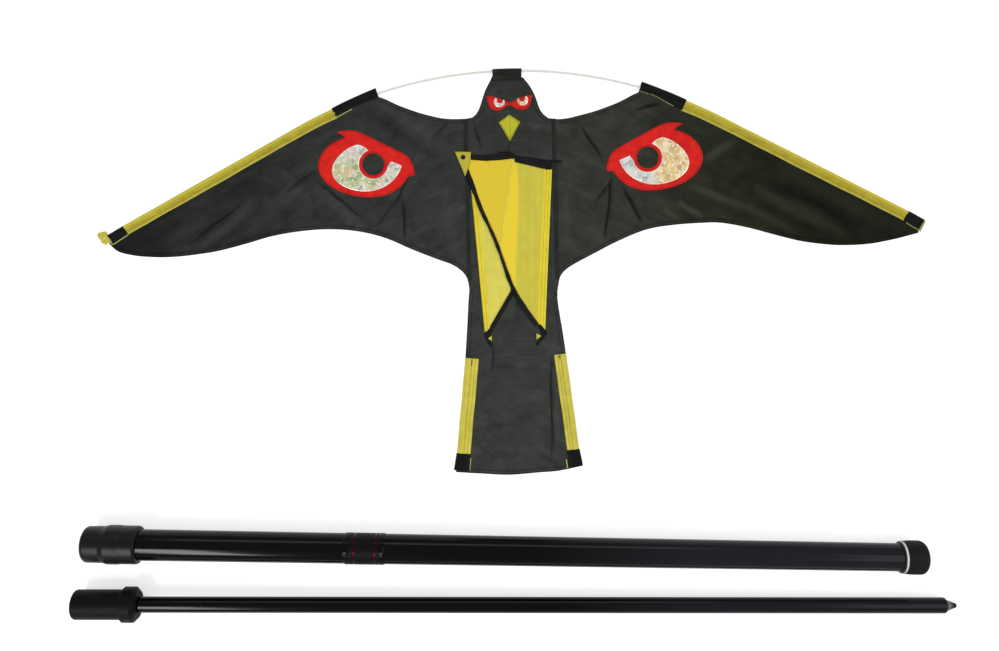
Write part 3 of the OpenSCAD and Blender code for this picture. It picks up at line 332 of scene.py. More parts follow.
def nylon(name, dark, light, size, bump, hem=None, thread=None, painted_crease_light=None, rim=None, **sockets):
    """Woven nylon: its colour goes from dark to light with the crumple, and hem, in mm from the edge,
    is the line at which the edge is turned over and sewn. The pair of colours given after thread is
    painted shade in the hollows and painted highlight on the ridges of the packing folds, which the
    attribute fold tells, and of fine slanting streaks of creases; rim is the colour the cloth takes
    within about 2 mm of its edge. Cloth with that pair also gets painted light and shade over its
    whole spread from an attribute that sewn_sail keeps."""
    m, t, shader = paint(name, **sockets)
    flat = add(t, "ShaderNodeUVMap", uv_map="cloth").outputs[0]
    creases = use(t, crumple, {"Vector": flat, "Size": size})
    cloth_threads = use(t, weave, {"Vector": flat})
    colour = blend_colour(t, creases["Shade"], dark, light)
    high = maths(t, "MULTIPLY_ADD", creases["Height"], bump)
    high_node = high.node
    t.links.new(maths(t, "MULTIPLY", cloth_threads["Height"], 0.03), high_node.inputs[2])
    if painted_crease_light:
        blotch = add(t, "ShaderNodeTexNoise", {"Vector": flat, "Scale": 130.0, "Detail": 2.0}).outputs[0]
        patchy = add(t, "ShaderNodeMapRange", {0: blotch, 1: 0.3, 2: 0.7, 3: 0.0, 4: 0.27}).outputs[0]
        colour = blend_colour(t, patchy, colour, tuple(0.62*c for c in dark))
        # Painted highlight and painted shade of fine creases: pale and dark streaks along slanted, squeezed
        # coordinates.
        drawn = add(t, "ShaderNodeAttribute", attribute_name="drawn").outputs["Vector"]
        pulled = add(t, "ShaderNodeTexNoise",
                     {"Vector": drawn, "Scale": 1.0, "Detail": 3.0, "Roughness": 0.6}).outputs[0]
        pale = add(t, "ShaderNodeMapRange", {0: pulled, 1: 0.52, 2: 0.74, 4: 0.26}).outputs[0]
        dim = add(t, "ShaderNodeMapRange", {0: pulled, 1: 0.46, 2: 0.28, 4: 0.32}).outputs[0]
        colour = blend_colour(t, dim, blend_colour(t, pale, colour, painted_crease_light[1]), painted_crease_light[0])
        # Painted shade in the hollows of the packing folds and painted highlight on their ridges, from the
        # attribute fold.
        fold = add(t, "ShaderNodeAttribute", attribute_name="fold").outputs["Fac"]
        hollow = add(t, "ShaderNodeMapRange", {0: fold, 1: -0.1, 2: -1.3}).outputs[0]
        ridge = add(t, "ShaderNodeMapRange", {0: fold, 1: 0.15, 2: 1.7}).outputs[0]
        colour = blend_colour(t, maths(t, "MULTIPLY", hollow, 0.85), colour, painted_crease_light[0])
        colour = blend_colour(t, maths(t, "MULTIPLY", ridge, 0.75), colour, painted_crease_light[1])
    off = add(t, "ShaderNodeAttribute", attribute_name="edge_mm").outputs["Fac"] if hem else None
    if hem:
        line = add(t, "ShaderNodeMapRange", {0: maths(t, "ABSOLUTE", maths(t, "SUBTRACT", off, hem)), 1: 0.0,
                                             2: 0.9, 3: 1.0, 4: 0.0}).outputs[0]
        turned = add(t, "ShaderNodeMapRange", {0: off, 1: hem, 2: hem - 0.6}).outputs[0]
        colour = blend_colour(t, maths(t, "MULTIPLY", line, 0.75), colour,
                              thread or tuple(0.35*c for c in dark))
        high = maths(t, "ADD", high, maths(t, "MULTIPLY", turned, 0.6))
    if rim:
        bare = add(t, "ShaderNodeMapRange", {0: off, 1: 1.9, 2: 0.7}).outputs[0]
        colour = blend_colour(t, maths(t, "MULTIPLY", bare, 0.8), colour, rim)
    # Painted light and shade over the whole sail: the colour is multiplied by a falloff kept for each point.
    if painted_crease_light:
        shaded = add(t, "ShaderNodeMix", data_type="RGBA", blend_type="MULTIPLY")
        shaded.inputs[0].default_value = 1.0
        t.links.new(colour, shaded.inputs[6])
        t.links.new(add(t, "ShaderNodeAttribute", attribute_name="painted_falloff").outputs["Color"], shaded.inputs[7])
        colour = shaded.outputs[2]
    bumps = add(t, "ShaderNodeBump", {"Strength": 0.6, "Distance": 0.0011, "Height": high})
    t.links.new(colour, shader["Base Color"])
    t.links.new(bumps.outputs[0], shader["Normal"])
    return m


# Sail nylon: its last two colours are painted shade for crease hollows and painted highlight for crease ridges.
charcoal = nylon("charcoal_nylon", (0.0222, 0.0234, 0.0217), (0.0350, 0.0369, 0.0345), 34.0, 1.2, hem=5.2,
                 painted_crease_light=((0.005, 0.0055, 0.005), (0.066, 0.070, 0.064)), rim=(0.006, 0.006, 0.006),
                 Roughness=0.6, Specular_IOR_Level=0.05)


def keep(piece, name, values):
    """Keeps one value, or one colour, for each point of a piece as an attribute."""
    values = np.asarray(values, float)
    if values.shape[-1] == 3 and values.ndim > 1:
        colours = np.concatenate([values.reshape(-1, 3), np.ones((values.size//3, 1))], 1)
        piece.data.attributes.new(name, "FLOAT_COLOR", "POINT").data.foreach_set("color", colours.ravel())
    else:
        piece.data.attributes.new(name, "FLOAT", "POINT").data.foreach_set("value", np.ravel(values))


def sewn_sail(piece, u, v, node):
    """What every panel of the sail has: the painted shade and highlight of its folds, painted light and
    shade over its whole spread, its node hidden, and its body. drawn keeps u, v turned by a slant and
    squeezed, on which lie the painted highlight and shade of fine streaks of creases."""
    keep(piece, "fold", pack_folds(u, v)[1]*(1 + 0.9*np.clip((u - 60)/200, 0, 1)))
    keep(piece, "painted_falloff", painted_falloff(u, v))
    slant, out = math.radians(28), np.maximum(np.abs(u) - 30, 0)
    keep(piece, "drawn", np.stack([(out*math.cos(slant) - v*math.sin(slant))/58 + (u > 0)*40,
                                   (out*math.sin(slant) + v*math.cos(slant))/15, 0*u], -1))
    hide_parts(node)
    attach(piece, "kite")


# Each wing is ruled from its front line to its rear line, closer together near the body seam.
across = np.linspace(0, 1, 104)[None, :]
for side, way in (("left", -1), ("right", 1)):
    tip_u = REAR_EDGE[way][-1][0]
    out_u = (SEAM_U + (tip_u - SEAM_U)*np.linspace(0, 1, 320)**1.25)[:, None]
    front_v = np.interp(out_u, front_line[way][:, 0], front_line[way][:, 1])
    rear_v = np.interp(out_u, rear_line[way][:, 0], rear_line[way][:, 1])
    wing_u, wing_v = np.broadcast_arrays(out_u, front_v + (rear_v - front_v)*across)
    wing_edge = np.minimum(off_line(wing_u, wing_v, rear_line[way][::2]),
                           off_line(wing_u, wing_v, front_line[way][:49:2]) + 0.4)
    wing = put_mesh("wing_cloth_" + side, on_kite(way*wing_u, wing_v, lie(way*wing_u, wing_v)),
                    net_faces(320, 104, turned=way < 0), np.stack([way*wing_u, wing_v], -1)/1000, charcoal,
                    0.25,
                    wing_edge)
    sewn_sail(wing, way*wing_u, wing_v, "wing_panel_" + side)

# The body is ruled from left to right; its lowest rows follow the sag of the tail's lower edge.
level = np.concatenate([np.linspace(114, 66, 27), 56.3 + 9.7*np.linspace(1, 0, 14)[1:]**1.6,
                        np.linspace(56.3, -420, 250)[1:]])[:, None]
tilt = 1.5*np.clip((level + 150)/120, 0, 1)
half_l, half_r = (np.interp(way*tilt - level, -edge[:, 1], edge[:, 0])
                  for way, edge in ((-1, np.array(BODY_EDGE[-1])), (1, np.array(BODY_EDGE[1]))))
side_share = np.linspace(-1, 1, 96)[None, :]
body_u = np.where(side_share < 0, half_l, half_r)*side_share
foot_line = through(TAIL_EDGE, 12)
drop = np.clip((-level - 360)/60, 0, 1)**2
body_v = level - tilt*side_share + drop*(np.interp(body_u, foot_line[:, 0], foot_line[:, 1]) + 420)
body_edge = off_line(body_u, body_v, foot_line)
for way in (-1, 1):
    edge = np.array(BODY_EDGE[way])*(way, 1)
    body_edge = np.minimum.reduce([body_edge, off_line(body_u, body_v, edge[:12]),
                                   off_line(body_u, body_v, edge[13:])])
body = put_mesh("body_cloth", on_kite(body_u, body_v, lie(body_u, body_v)),
                net_faces(len(level), 96, turned=True),
                np.stack([body_u, body_v], -1)/1000, charcoal, 0.25, body_edge)
sewn_sail(body, body_u, body_v, "body_panel")


# Seam tapes: narrow charcoal tape sewn over both shoulder seams with a row of stitches at each edge.
def tape_nylon(name, dark, light, rows, thread, bands=(), **sockets):
    """Close-woven tape: nylon with rows of stitches, each at a distance in mm across its uv. Each band
    blends in a colour, from where across its uv it starts to where it has its full share."""
    m = nylon(name, dark, light, 60.0, 0.5, **sockets)
    t = m.node_tree
    shader = t.nodes["Principled BSDF"].inputs
    colour, normal = shader["Base Color"].links[0].from_socket, shader["Normal"].links[0].from_socket
    place = add(t, "ShaderNodeSeparateXYZ", {0: add(t, "ShaderNodeUVMap", uv_map="cloth").outputs[0]}).outputs
    for start, full, share, tint in bands:
        part = add(t, "ShaderNodeMapRange", {0: place[1], 1: start/1000, 2: full/1000, 4: share}).outputs[0]
        colour = blend_colour(t, part, colour, tint)
    height = None
    for at in rows:
        sewn = use(t, stitching, {"Along": place[0], "Across": place[1], "Line": at/1000})
        colour = blend_colour(t, maths(t, "MULTIPLY", sewn["Thread"], 0.8), colour, thread)
        height = sewn["Dip"] if height is None else maths(t, "MINIMUM", height, sewn["Dip"])
    pulled = add(t, "ShaderNodeBump", {"Strength": 0.5, "Distance": 0.0008, "Height": height, "Normal": normal})
    t.links.new(colour, shader["Base Color"])
    t.links.new(pulled.outputs[0], shader["Normal"])
    return m


def strip(line, wide, up, count, rows=5, crown=0.0):
    """A flat strip along a line of u, v points: each of its points lies beside the line, square to it,
    up to half of wide away, at the height up(u, v) plus a crown that falls off to the edges.
    Returns u, v, z and the uv of length along and distance across, in mm."""
    cut = np.concatenate([[0], np.cumsum(np.linalg.norm(np.diff(line, axis=0), axis=1))])
    l = np.linspace(0, cut[-1], count)
    mid = np.stack([np.interp(l, cut, line[:, k]) for k in (0, 1)], 1)
    along = np.gradient(mid, axis=0)
    along /= np.linalg.norm(along, axis=1)[:, None]
    q = np.linspace(-0.5, 0.5, rows)[None, :]
    w = np.broadcast_to(np.reshape(wide, (-1, 1)), (count, 1))*q
    u, v = mid[:, :1] - along[:, 1:]*w, mid[:, 1:] + along[:, :1]*w
    z = up(u, v) + crown*(1 - 4*q*q)
    return u, v, z, np.stack(np.broadcast_arrays(l[:, None], w + np.reshape(wide, (-1, 1))/2), -1)


def several(name, strips, thick, material, turned=False):
    """One mesh object of several strips, each a net of its own."""
    points, faces, uvs, base = [], [], [], 0
    for u, v, z, uv in strips:
        points.append(on_kite(u, v, z).reshape(-1, 3))
        faces.append(net_faces(*u.shape, turned=turned) + base)
        uvs.append(uv.reshape(-1, 2)/1000)
        base += u.size
    return put_mesh(name, np.concatenate(points), np.concatenate(faces), np.concatenate(uvs), material, thick)


seam_tape = tape_nylon("seam_tape", (0.0165, 0.018, 0.0160), (0.027, 0.029, 0.026), [0.6, 4.4],
                       (0.013, 0.0145, 0.013), Roughness=0.7, Specular_IOR_Level=0.05)
seams = several("seam_tape_pair", [strip(np.array([[s*60, 55.0], [s*60, -40], [s*60, -164]]), 5.0,
                                         lambda u, v: lie(u, v) + 0.32, 120, crown=0.12) for s in (-1, 1)],
                                         0.25, seam_tape, turned=True)
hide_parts("seam_tapes")
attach(seams, "kite")


# Spar: a white glass fibre rod in two halves, bent by the wings and held in sleeves and pockets.
# Its brass ferrule and the two tail rods are out of sight in theirs.
white_rod, t, shader = paint("white_glass_fibre", Roughness=0.35)
grain = add(t, "ShaderNodeTexNoise", {"Vector": add(t, "ShaderNodeTexCoord").outputs["Object"], "Scale": 140.0,
                                      "Detail": 3.0}).outputs[0]
t.links.new(blend_colour(t, grain, (0.66, 0.66, 0.60), (0.82, 0.82, 0.77)), shader["Base Color"])
t.links.new(add(t, "ShaderNodeMapRange", {0: grain, 3: 0.25, 4: 0.5}).outputs[0], shader["Roughness"])
brass, t, shader = paint("brass", Metallic=1.0)
tarnish = add(t, "ShaderNodeTexNoise", {"Vector": add(t, "ShaderNodeTexCoord").outputs["Object"],
                                        "Scale": 400.0,
                                        "Detail": 4.0}).outputs[0]
t.links.new(blend_colour(t, tarnish, (0.46, 0.31, 0.10), (0.78, 0.58, 0.26)), shader["Base Color"])
t.links.new(add(t, "ShaderNodeMapRange", {0: tarnish, 3: 0.2, 4: 0.45}).outputs[0], shader["Roughness"])


def finish_node(name, material):
    """Gives a CAD node that shows as it is its material."""
    mesh = nodes[name].data
    mesh.materials.clear()
    mesh.materials.append(material)


for name in ("spar_left", "spar_right", "tail_rod_left", "tail_rod_right"):
    finish_node(name, white_rod)
for name in ("spar_ferrule", "tip_ferrule"):
    finish_node(name, brass)


# Spar sleeves: olive yellow nylon folded over the spar along each wing's front edge and sewn down
# behind it with two rows of brown thread. Black tape pockets close it at the body and at the tip.
def fold_round(l, inner, outer, hug, lift, ripple):
    """Cloth folded round the spar, as a profile carried along it: from its inner edge up over the rod,
    round the front and back underneath; inner and outer, its reach behind and before the rod, may change
    along it. Its height ripples where the rows of stitches pull it in."""
    l = l[:, None]
    inner, outer = (np.broadcast_to(np.reshape(q, (-1, 1)), l.shape) for q in (inner, outer))
    a = np.radians(np.linspace(118, -78, 12))[None, :]
    over = hug*np.cos(a) + 0*l
    w = np.concatenate([-0.5*hug - (inner - 0.5*hug)*np.array([[1, 0.84, 0.68, 0.5, 0.32, 0.16, 0.04]]),
                        np.where(over > 0, over*outer/hug, over), np.array([[0.2*hug, -3.0, -6.5]]) + 0*l], 1)
    z = np.concatenate([lift + np.array([[0.0, 0.15, 0.32, 0.42, 0.62, 1.3, 2.35]]), ROD_Z + hug*np.sin(a),
                        np.array([[0.34, 0.3, 0.3]])], 1)
    cut = np.concatenate([[0], np.cumsum(np.hypot(np.diff(w[0]), np.diff(z[0])))])[None, :] + 0*l
    sag = np.exp(-((w + 0.5*inner)/(0.22*inner))**2)*(z < 3.2)
    z = z + ripple*sag*(np.sin(l/2.1) + 0.7*np.sin(l/5.3 + 1))
    w = w*(1 + 0.018*np.sin(l/31) + 0.012*np.sin(l/9.7 + 2))
    u, v = on_spar(l + 0*w, w)
    return u, v, z, np.stack([l + 0*w, cut], -1)


def sewn_on(piece, node):
    """Puts a sewn piece in its node's place, on the kite."""
    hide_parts(node)
    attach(piece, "kite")


# The olive sleeve's two bands are painted highlights: a pale line along its inner edge, and a lighter band
# where the cloth rises over the rod.
olive = tape_nylon("olive_nylon", (0.34, 0.285, 0.022), (0.47, 0.40, 0.034), [3.8, 5.0], (0.22, 0.13, 0.02),
                   bands=((1.6, 0.3, 0.75, (0.60, 0.54, 0.13)), (7.5, 11.5, 0.75, (0.60, 0.52, 0.05))),
                   Roughness=0.6, Specular_IOR_Level=0.15)
pocket_black = tape_nylon("pocket_tape", (0.0045, 0.0045, 0.005), (0.0105, 0.0105, 0.011), [2.0, 12.0],
                          (0.015, 0.015, 0.014), Roughness=0.8, Specular_IOR_Level=0.08)
for side, way, seam, stop, reach, pocket_in in (
        ("left", -1, 574.8, 598.4, 10.2, ([182, 246], [4.6, 6.4])),
        ("right", 1, 586.8, 610.4, 11.3, ([182, 205, 225, 236, 246], [4.2, 5.0, 8.4, 9.6, 10.4]))):
    inner_l, tip_l = np.linspace(182, 247.2, 54), np.linspace(seam - 1.0, stop, 22)
    for name, node, l, inner, outer, hug, lift, ripple, material, slot in (
            ("sleeve", "wing_sleeve", np.linspace(245.8, seam + 0.3, 280), reach, 3.0, 2.2, 1.1, 0.16, olive,
             "sleeve_yellow"),
            ("inner_fold", "inner_pocket", inner_l, np.interp(inner_l, *pocket_in),
             np.interp(inner_l, [182, 246], [8.2, 4.4]), 2.6, 1.35, 0.08, pocket_black, "black_tape"),
            ("tip_fold", "tip_pocket", tip_l, np.interp(tip_l, [seam, stop], [reach - 0.4, reach + 1.5]),
             np.interp(tip_l, [seam, stop], [3.2, 2.6 if way < 0 else 2.3]), 2.3, 1.4, 0.08, pocket_black,
             "black_tape")):
        u, v, z, uv = fold_round(l, inner, outer, hug, lift, ripple)
        sewn_on(several(name + "_" + side, [(way*u, v, z, uv)], 0.3, material, turned=way > 0),
                node + "_" + side)


# Head pocket: black tape folded over the middle of the spar and sewn to the top of the head.
def head_fold(s):
    """The same fold as on the wings, carried along the middle of the spar to both sides."""
    u, v, z, uv = fold_round(np.abs(s), 12.6, 3.2, 2.9, 1.35, 0.06)
    return np.where(s[:, None] < 0, -1, 1)*u, v, z, uv + np.stack([s - np.abs(s), 0*s], -1)[:, None, :]


head_tape = tape_nylon("head_tape", (0.0135, 0.015, 0.0120), (0.024, 0.0265, 0.0215), [0.8, 8.6],
                       (0.006, 0.0065, 0.006),
                       Roughness=0.75, Specular_IOR_Level=0.06)
sewn_on(several("head_fold", [head_fold(np.linspace(-21.8, 18.0, 49))], 0.3, head_tape, turned=True),
        "head_pocket")


# Tail sleeves: yellow nylon folded over the tail's two edges round a thin rod, sewn down with two
# rows of brown thread, barred at the top with a black tack, and closed below by a black tape pocket.
TAIL_SIDE = {-1: (60.2, math.radians(6.20)), 1: (61.6, math.radians(6.25))}
TAIL_FROM = -190.0


def on_tail(way, l, w):
    """Plan of one edge of the tail, l down it from the waist and w outside it: a straight line that leans
    outward."""
    start, lean = TAIL_SIDE[way]
    return (way*(start + l*math.sin(lean) + w*math.cos(lean)), TAIL_FROM - l*math.cos(lean) + w*math.sin(lean))


def tail_fold(way, l, wide, grow, lift):
    """Cloth folded round the tail rod, as a profile carried down the edge: flat from its inner edge, up
    over the rod, down to the cut edge and back underneath; wide is its width, grow spreads its outer edge
    and lift raises it."""
    l = l[:, None]
    w = np.array([[-18, -15.8, -13.6, -11.4, -9.6, -8.2, -7.1, -6, -4.9, -3.8, -2.4, -1.5, -0.8, -0.2, -0.6,
                   -3, -8.0]])
    z = np.array([[1.35, 1.5, 1.55, 1.75, 2.7, 3.7, 4.05, 4.15, 4.0, 3.3, 2.4, 1.9, 1.6, 1.2, 0.75, 0.5, 0.45]])
    grow = np.reshape(grow, (-1, 1))
    w, z = w + (18 - wide)*np.clip(-w - 8, 0, 10)/10 + grow*(w > -1), z + lift*(z > 1.0) + 0*l
    cut = np.concatenate([[0], np.cumsum(np.hypot(np.diff(w[0]), np.diff(z[0])))])[None, :] + 0*l
    flat = np.exp(-((w + 13)/3.4)**2) * (z > 1.3)
    z = z + 0.14*flat*(np.sin(l/2.3) + 0.7*np.sin(l/6.1 + 1))
    w = w + 0.25*np.sin(l/23) + 0.15*np.sin(l/8.3 + 1)
    u, v = on_tail(way, l + 0*w, w)
    return u, v, z, np.stack([l + 0*w, cut], -1)


tail_yellow = tape_nylon("tail_yellow_nylon", (0.50, 0.435, 0.052), (0.63, 0.55, 0.080), [4.2, 9.2],
                         (0.15, 0.10, 0.012), Roughness=0.6, Specular_IOR_Level=0.14)
lining = tape_nylon("yellow_lining", (0.36, 0.335, 0.085), (0.48, 0.45, 0.14), [0.3], (0.30, 0.27, 0.06),
                    Roughness=0.6, Specular_IOR_Level=0.15)
thread_black = tape_nylon("black_thread", (0.004, 0.004, 0.004), (0.012, 0.012, 0.011), [1.0],
                          (0.02, 0.02, 0.02), Roughness=0.55)
tacks = []
for side, way, top, wide, foot, long in (("left", -1, 79.2, 18.7, 209.8, 8.5),
                                         ("right", 1, 76.5, 16.6, 208.0, 4.5)):
    sleeve_l, end_l = np.linspace(top, foot + 1, 110), np.linspace(foot, foot + 23.6, 20)
    flare = 0.5 + 2.2*np.clip((end_l - foot)/24, 0, 1)
    for name, node, l, grow, lift, material, slot in (
            ("tail_fold", "tail_sleeve", sleeve_l, 0.0, 0.0, tail_yellow, "sleeve_yellow"),
            ("tail_end_fold", "tail_pocket", end_l, flare, 0.3, pocket_black, "black_tape")):
        net = tail_fold(way, l, wide + (0.0 if name == "tail_fold" else 0.4), grow, lift)
        sewn_on(several(name + "_" + side, [net], 0.3, material, turned=way > 0), node + "_" + side)
    ends = np.array([on_tail(way, top + 1.5, -9.6), on_tail(way, top + 1.5 + long, -9.6)])
    tacks.append(strip(ends, 1.7, lambda u, v: 3.0 + 0*u, 12, crown=0.35))
bar_tacks = several("tail_bar_tacks", tacks, 0.3, thread_black, turned=True)
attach(bar_tacks, "kite")


# Linings: the yellow tape ends of the sleeves go on under the black pockets, and a line of them shows
# along the pockets' inner edges; at the right wing tip the end is folded up, at the left it is knotted.
def beside_spar(way, path, wide):
    """A strip that lies beside the spar, through the places of a path given as l along it and w from it."""
    l, w = np.array(path, float).T
    u, v = on_spar(l, w)
    return strip(through(np.stack([way*u, v], 1), 6), wide, lambda u, v: np.maximum(lie(u, v) + 0.5, 1.5),
                 12*len(path))


lining_edges = several("lining_edges_left", [
    beside_spar(-1, [(222, -7.1), (234, -8.4), (247, -9.5)], 1.4),
    beside_spar(-1, [(573.5, -10.4), (586, -11.2), (597.6, -12.0)], 1.5),
    beside_spar(-1, [(598.6, -12.2), (600.2, -8), (599.8, -1)], 1.8)], 0.25, lining, turned=True)
end_olive = tape_nylon("dull_lining", (0.26, 0.265, 0.085), (0.37, 0.375, 0.13), [0.5], (0.20, 0.20, 0.06),
                       Roughness=0.6, Specular_IOR_Level=0.12)
lining_edges_right = several("lining_edges_right", [
    beside_spar(1, [(183, -4.4), (196, -4.9)], 0.9),
    beside_spar(1, [(198, -4.6), (206, -5.2), (216, -6.9), (226, -8.8), (234, -9.8)], 0.9),
    beside_spar(1, [(590.6, -12.2), (600, -13.2), (610.6, -13.6)], 1.2)], 0.25, end_olive, turned=True)
for piece in (lining_edges, lining_edges_right):
    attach(piece, "kite")
pale_lining = tape_nylon("pale_lining", (0.56, 0.53, 0.20), (0.72, 0.69, 0.34), [0.3], (0.40, 0.36, 0.10),
                         Roughness=0.6, Specular_IOR_Level=0.15)
tail_linings = several("tail_lining_edges", [
    strip(np.array([on_tail(way, start, -19.3), on_tail(way, 232.0, -19.3)]), 1.1, lambda u,
          v: lie(u, v) + 0.5, 24)
    for way, start in ((-1, 215.0), (1, 220.0))], 0.25, pale_lining, turned=True)
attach(tail_linings, "kite")


def tape_bight(l, w, half_l, half_w, high, turn):
    """A short loop of tape laid flat: a flattened ring in the l and z directions, carried across w, its
    edges curling down a little; its middle is at l and w along the spar and it is turned by an angle."""
    a = np.linspace(0, 2*np.pi, 37)[:, None]
    q = np.linspace(-1, 1, 9)[None, :]
    pinch = 1 - 0.12*q*q
    dl = half_l*np.sign(np.cos(a))*np.abs(np.cos(a))**0.8*pinch + 0.4*np.sin(3*q)
    z = 1.75 + high*(np.sin(a)*pinch - 0.18*q*q)
    dw = half_w*q + 0*a
    c, s = math.cos(turn), math.sin(turn)
    u, v = on_spar(l + c*dl - s*dw, w + s*dl + c*dw)
    cut = half_l*a*0.65
    return u, v, z + 0*u, np.stack(np.broadcast_arrays(cut + 0*q, dw + half_w), -1)


knot = []
for l, w, half_l, half_w, high, turn in ((605.4, 5.8, 5.6, 4.3, 1.6, 0.25), (604.4, -2.2, 5.4, 4.3, 1.6, -0.3),
                                         (600.6, 1.8, 2.2, 6.6, 1.9, 0.1)):
    u, v, z, uv = tape_bight(l, w, half_l, half_w, high, turn)
    knot.append((-u, v, z + 0.5, uv))
sewn_on(several("tip_knot_left", knot, 0.3, tail_yellow, turned=False), "tip_tie_left")
end_line = np.stack(on_spar(np.full(16, 612.0), np.linspace(-14.6, 1.2, 16)), 1)
sewn_on(several("tip_end_right", [strip(end_line, 3.4, lambda u, v: 1.5 + 0*u, 30, crown=0.7)], 0.35,
                end_olive, turned=True),
        "tip_tie_right")


# Wing eyes: an eye-shaped patch of red nylon sewn to each wing round the edge, open in the middle so
# that the sail shows as the pupil, and on it a crescent of embossed silver foil.
def inside(p, ring):
    """Whether each point is inside a closed ring: an odd number of its sides cross the ray to the right."""
    a, b = ring[None], np.roll(ring, -1, 0)[None]
    x, y = p[:, :1], p[:, 1:]
    over = (a[..., 1] > y) != (b[..., 1] > y)
    cross = a[..., 0] + (y - a[..., 1])*(b[..., 0] - a[..., 0])/np.where(over, b[..., 1] - a[..., 1], 1)
    return (over & (x < cross)).sum(1) % 2 == 1


def cut_cloth(rings, pitch):
    """Cloth cut along rings of u, v points, the first its outline and the rest holes: a square net of
    points inside, half a pitch clear of the rings, joined with theirs into Delaunay triangles."""
    fine = []
    for ring in rings:
        step = np.linalg.norm(np.roll(ring, -1, 0) - ring, axis=1)
        at = np.concatenate([[0], np.cumsum(step)])
        shut = np.concatenate([ring, ring[:1]])
        l = np.unique(np.concatenate([at[:-1], np.arange(0, at[-1], pitch)]))
        l = l[np.concatenate([np.diff(l) > 0.05, [at[-1] - l[-1] > 0.05]])]
        fine.append(np.stack([np.interp(l, at, shut[:, k]) for k in (0, 1)], 1))
    lo, hi = fine[0].min(0), fine[0].max(0)
    gu, gv = np.meshgrid(np.arange(lo[0], hi[0], pitch), np.arange(lo[1], hi[1], pitch))
    p = np.stack([gu.ravel(), gv.ravel()], 1)
    clear = np.min([off_line(p[:, 0], p[:, 1], np.concatenate([r, r[:1]])) for r in fine], axis=0)
    p = p[(clear > 0.5*pitch) & inside(p, fine[0]) & ~np.any([inside(p, r) for r in fine[1:]] or [p[:,
            0] > 1e9], axis=0)]
    first = np.concatenate([[0], np.cumsum([len(r) for r in fine])])
    sides = [(int(first[k] + i), int(first[k] + (i + 1) % len(r))) for k,
             r in enumerate(fine) for i in range(len(r))]
    flat = [Vector(q) for q in np.concatenate(fine + [p]).tolist()]
    made = delaunay_2d_cdt(flat, sides, [], 0, 1e-5)
    v = np.array([q[:] for q in made[0]])
    f = np.array([t for t in made[2] if len(t) == 3])
    mid = v[f].mean(1)
    f = f[inside(mid, fine[0]) & ~np.any([inside(mid, r) for r in fine[1:]] or [mid[:, 0] > 1e9], axis=0)]
    edge = np.min([off_line(v[:, 0], v[:, 1], np.concatenate([r, r[:1]])) for r in fine], axis=0)
    return v, f, edge


def patch(name, rings, pitch, up, material, thick=0.3):
    """A piece of cut cloth laid at the height up(u, v), with its distance from the edge kept."""
    p, f, edge = cut_cloth(rings, pitch)
    return put_mesh(name, on_kite(p[:, 0], p[:, 1], up(p[:, 0], p[:, 1])), f, p/1000, material, thick, edge)


def ring_of(x, y, r, n=48, start=0.0, stop=360.0):
    """Points of a circle about x, y, or of the arc of it from start to stop in degrees."""
    a = np.radians(np.linspace(start, stop, n, endpoint=stop - start < 360))
    return np.stack([x + r*np.cos(a), y + r*np.sin(a)], 1)


red_nylon = nylon("red_nylon", (0.54, 0.010, 0.008), (0.74, 0.020, 0.014), 90.0, 0.6, hem=1.6,
                  thread=(0.36, 0.004, 0.005), Roughness=0.6, Specular_IOR_Level=0.1)
foil, t, shader = paint("embossed_foil", Metallic=0.5, Specular_IOR_Level=0.4)
flat = add(t, "ShaderNodeUVMap", uv_map="cloth").outputs[0]
cells = add(t, "ShaderNodeTexVoronoi", {"Vector": flat, "Scale": 165.0, "Randomness": 1.0})
specks = add(t, "ShaderNodeTexVoronoi", {"Vector": flat, "Scale": 400.0, "Randomness": 1.0})
tone = add(t, "ShaderNodeSeparateColor", {0: cells.outputs["Color"]}).outputs
spark = add(t, "ShaderNodeSeparateColor", {0: specks.outputs["Color"]}).outputs


def tints(stops, at):
    """A row of colours, from which the value at picks one."""
    ramp = add(t, "ShaderNodeValToRGB", {0: at})
    for _ in stops[2:]:
        ramp.color_ramp.elements.new(0.5)
    for point, (place, colour) in zip(ramp.color_ramp.elements, stops):
        point.position, point.color = place, (*colour, 1)
    return ramp.outputs[0]


silver = tints([(0.0, (0.42, 0.47, 0.46)), (0.3, (0.70, 0.74, 0.72)), (0.55, (0.92, 0.92, 0.88)),
                (0.75, (0.62, 0.58, 0.72)),
                (1.0, (0.95, 0.94, 0.92))], tone[0])
green = tints([(0.0, (0.30, 0.40, 0.24)), (0.3, (0.40, 0.58, 0.26)), (0.55, (0.58, 0.68, 0.42)),
               (0.8, (0.80, 0.66, 0.28)),
               (1.0, (0.84, 0.52, 0.30))], tone[0])
gold = tints([(0.0, (0.60, 0.42, 0.20)), (0.3, (0.82, 0.57, 0.20)), (0.6, (0.92, 0.64, 0.25)),
              (0.85, (0.95, 0.78, 0.44)),
              (1.0, (0.88, 0.84, 0.58))], tone[0])
share = add(t, "ShaderNodeAttribute", attribute_name="hue").outputs["Color"]
share = add(t, "ShaderNodeSeparateColor", {0: share}).outputs
mixed = blend_colour(t, share[0], blend_colour(t, share[1], silver, green), gold)
bright = add(t, "ShaderNodeMapRange", {0: spark[1], 1: 0.74, 2: 0.86, 4: 0.85}).outputs[0]
mixed = blend_colour(t, bright, mixed, (0.96, 0.96, 0.92))
rim = add(t, "ShaderNodeMapRange", {0: add(t, "ShaderNodeAttribute", attribute_name="edge_mm").outputs["Fac"],
                                    1: 1.5, 2: 0.6}).outputs[0]
t.links.new(blend_colour(t, maths(t, "MULTIPLY", rim, 0.7), mixed, (0.90, 0.89, 0.85)), shader["Base Color"])
t.links.new(add(t, "ShaderNodeMapRange", {0: tone[1], 3: 0.25, 4: 0.5}).outputs[0], shader["Roughness"])
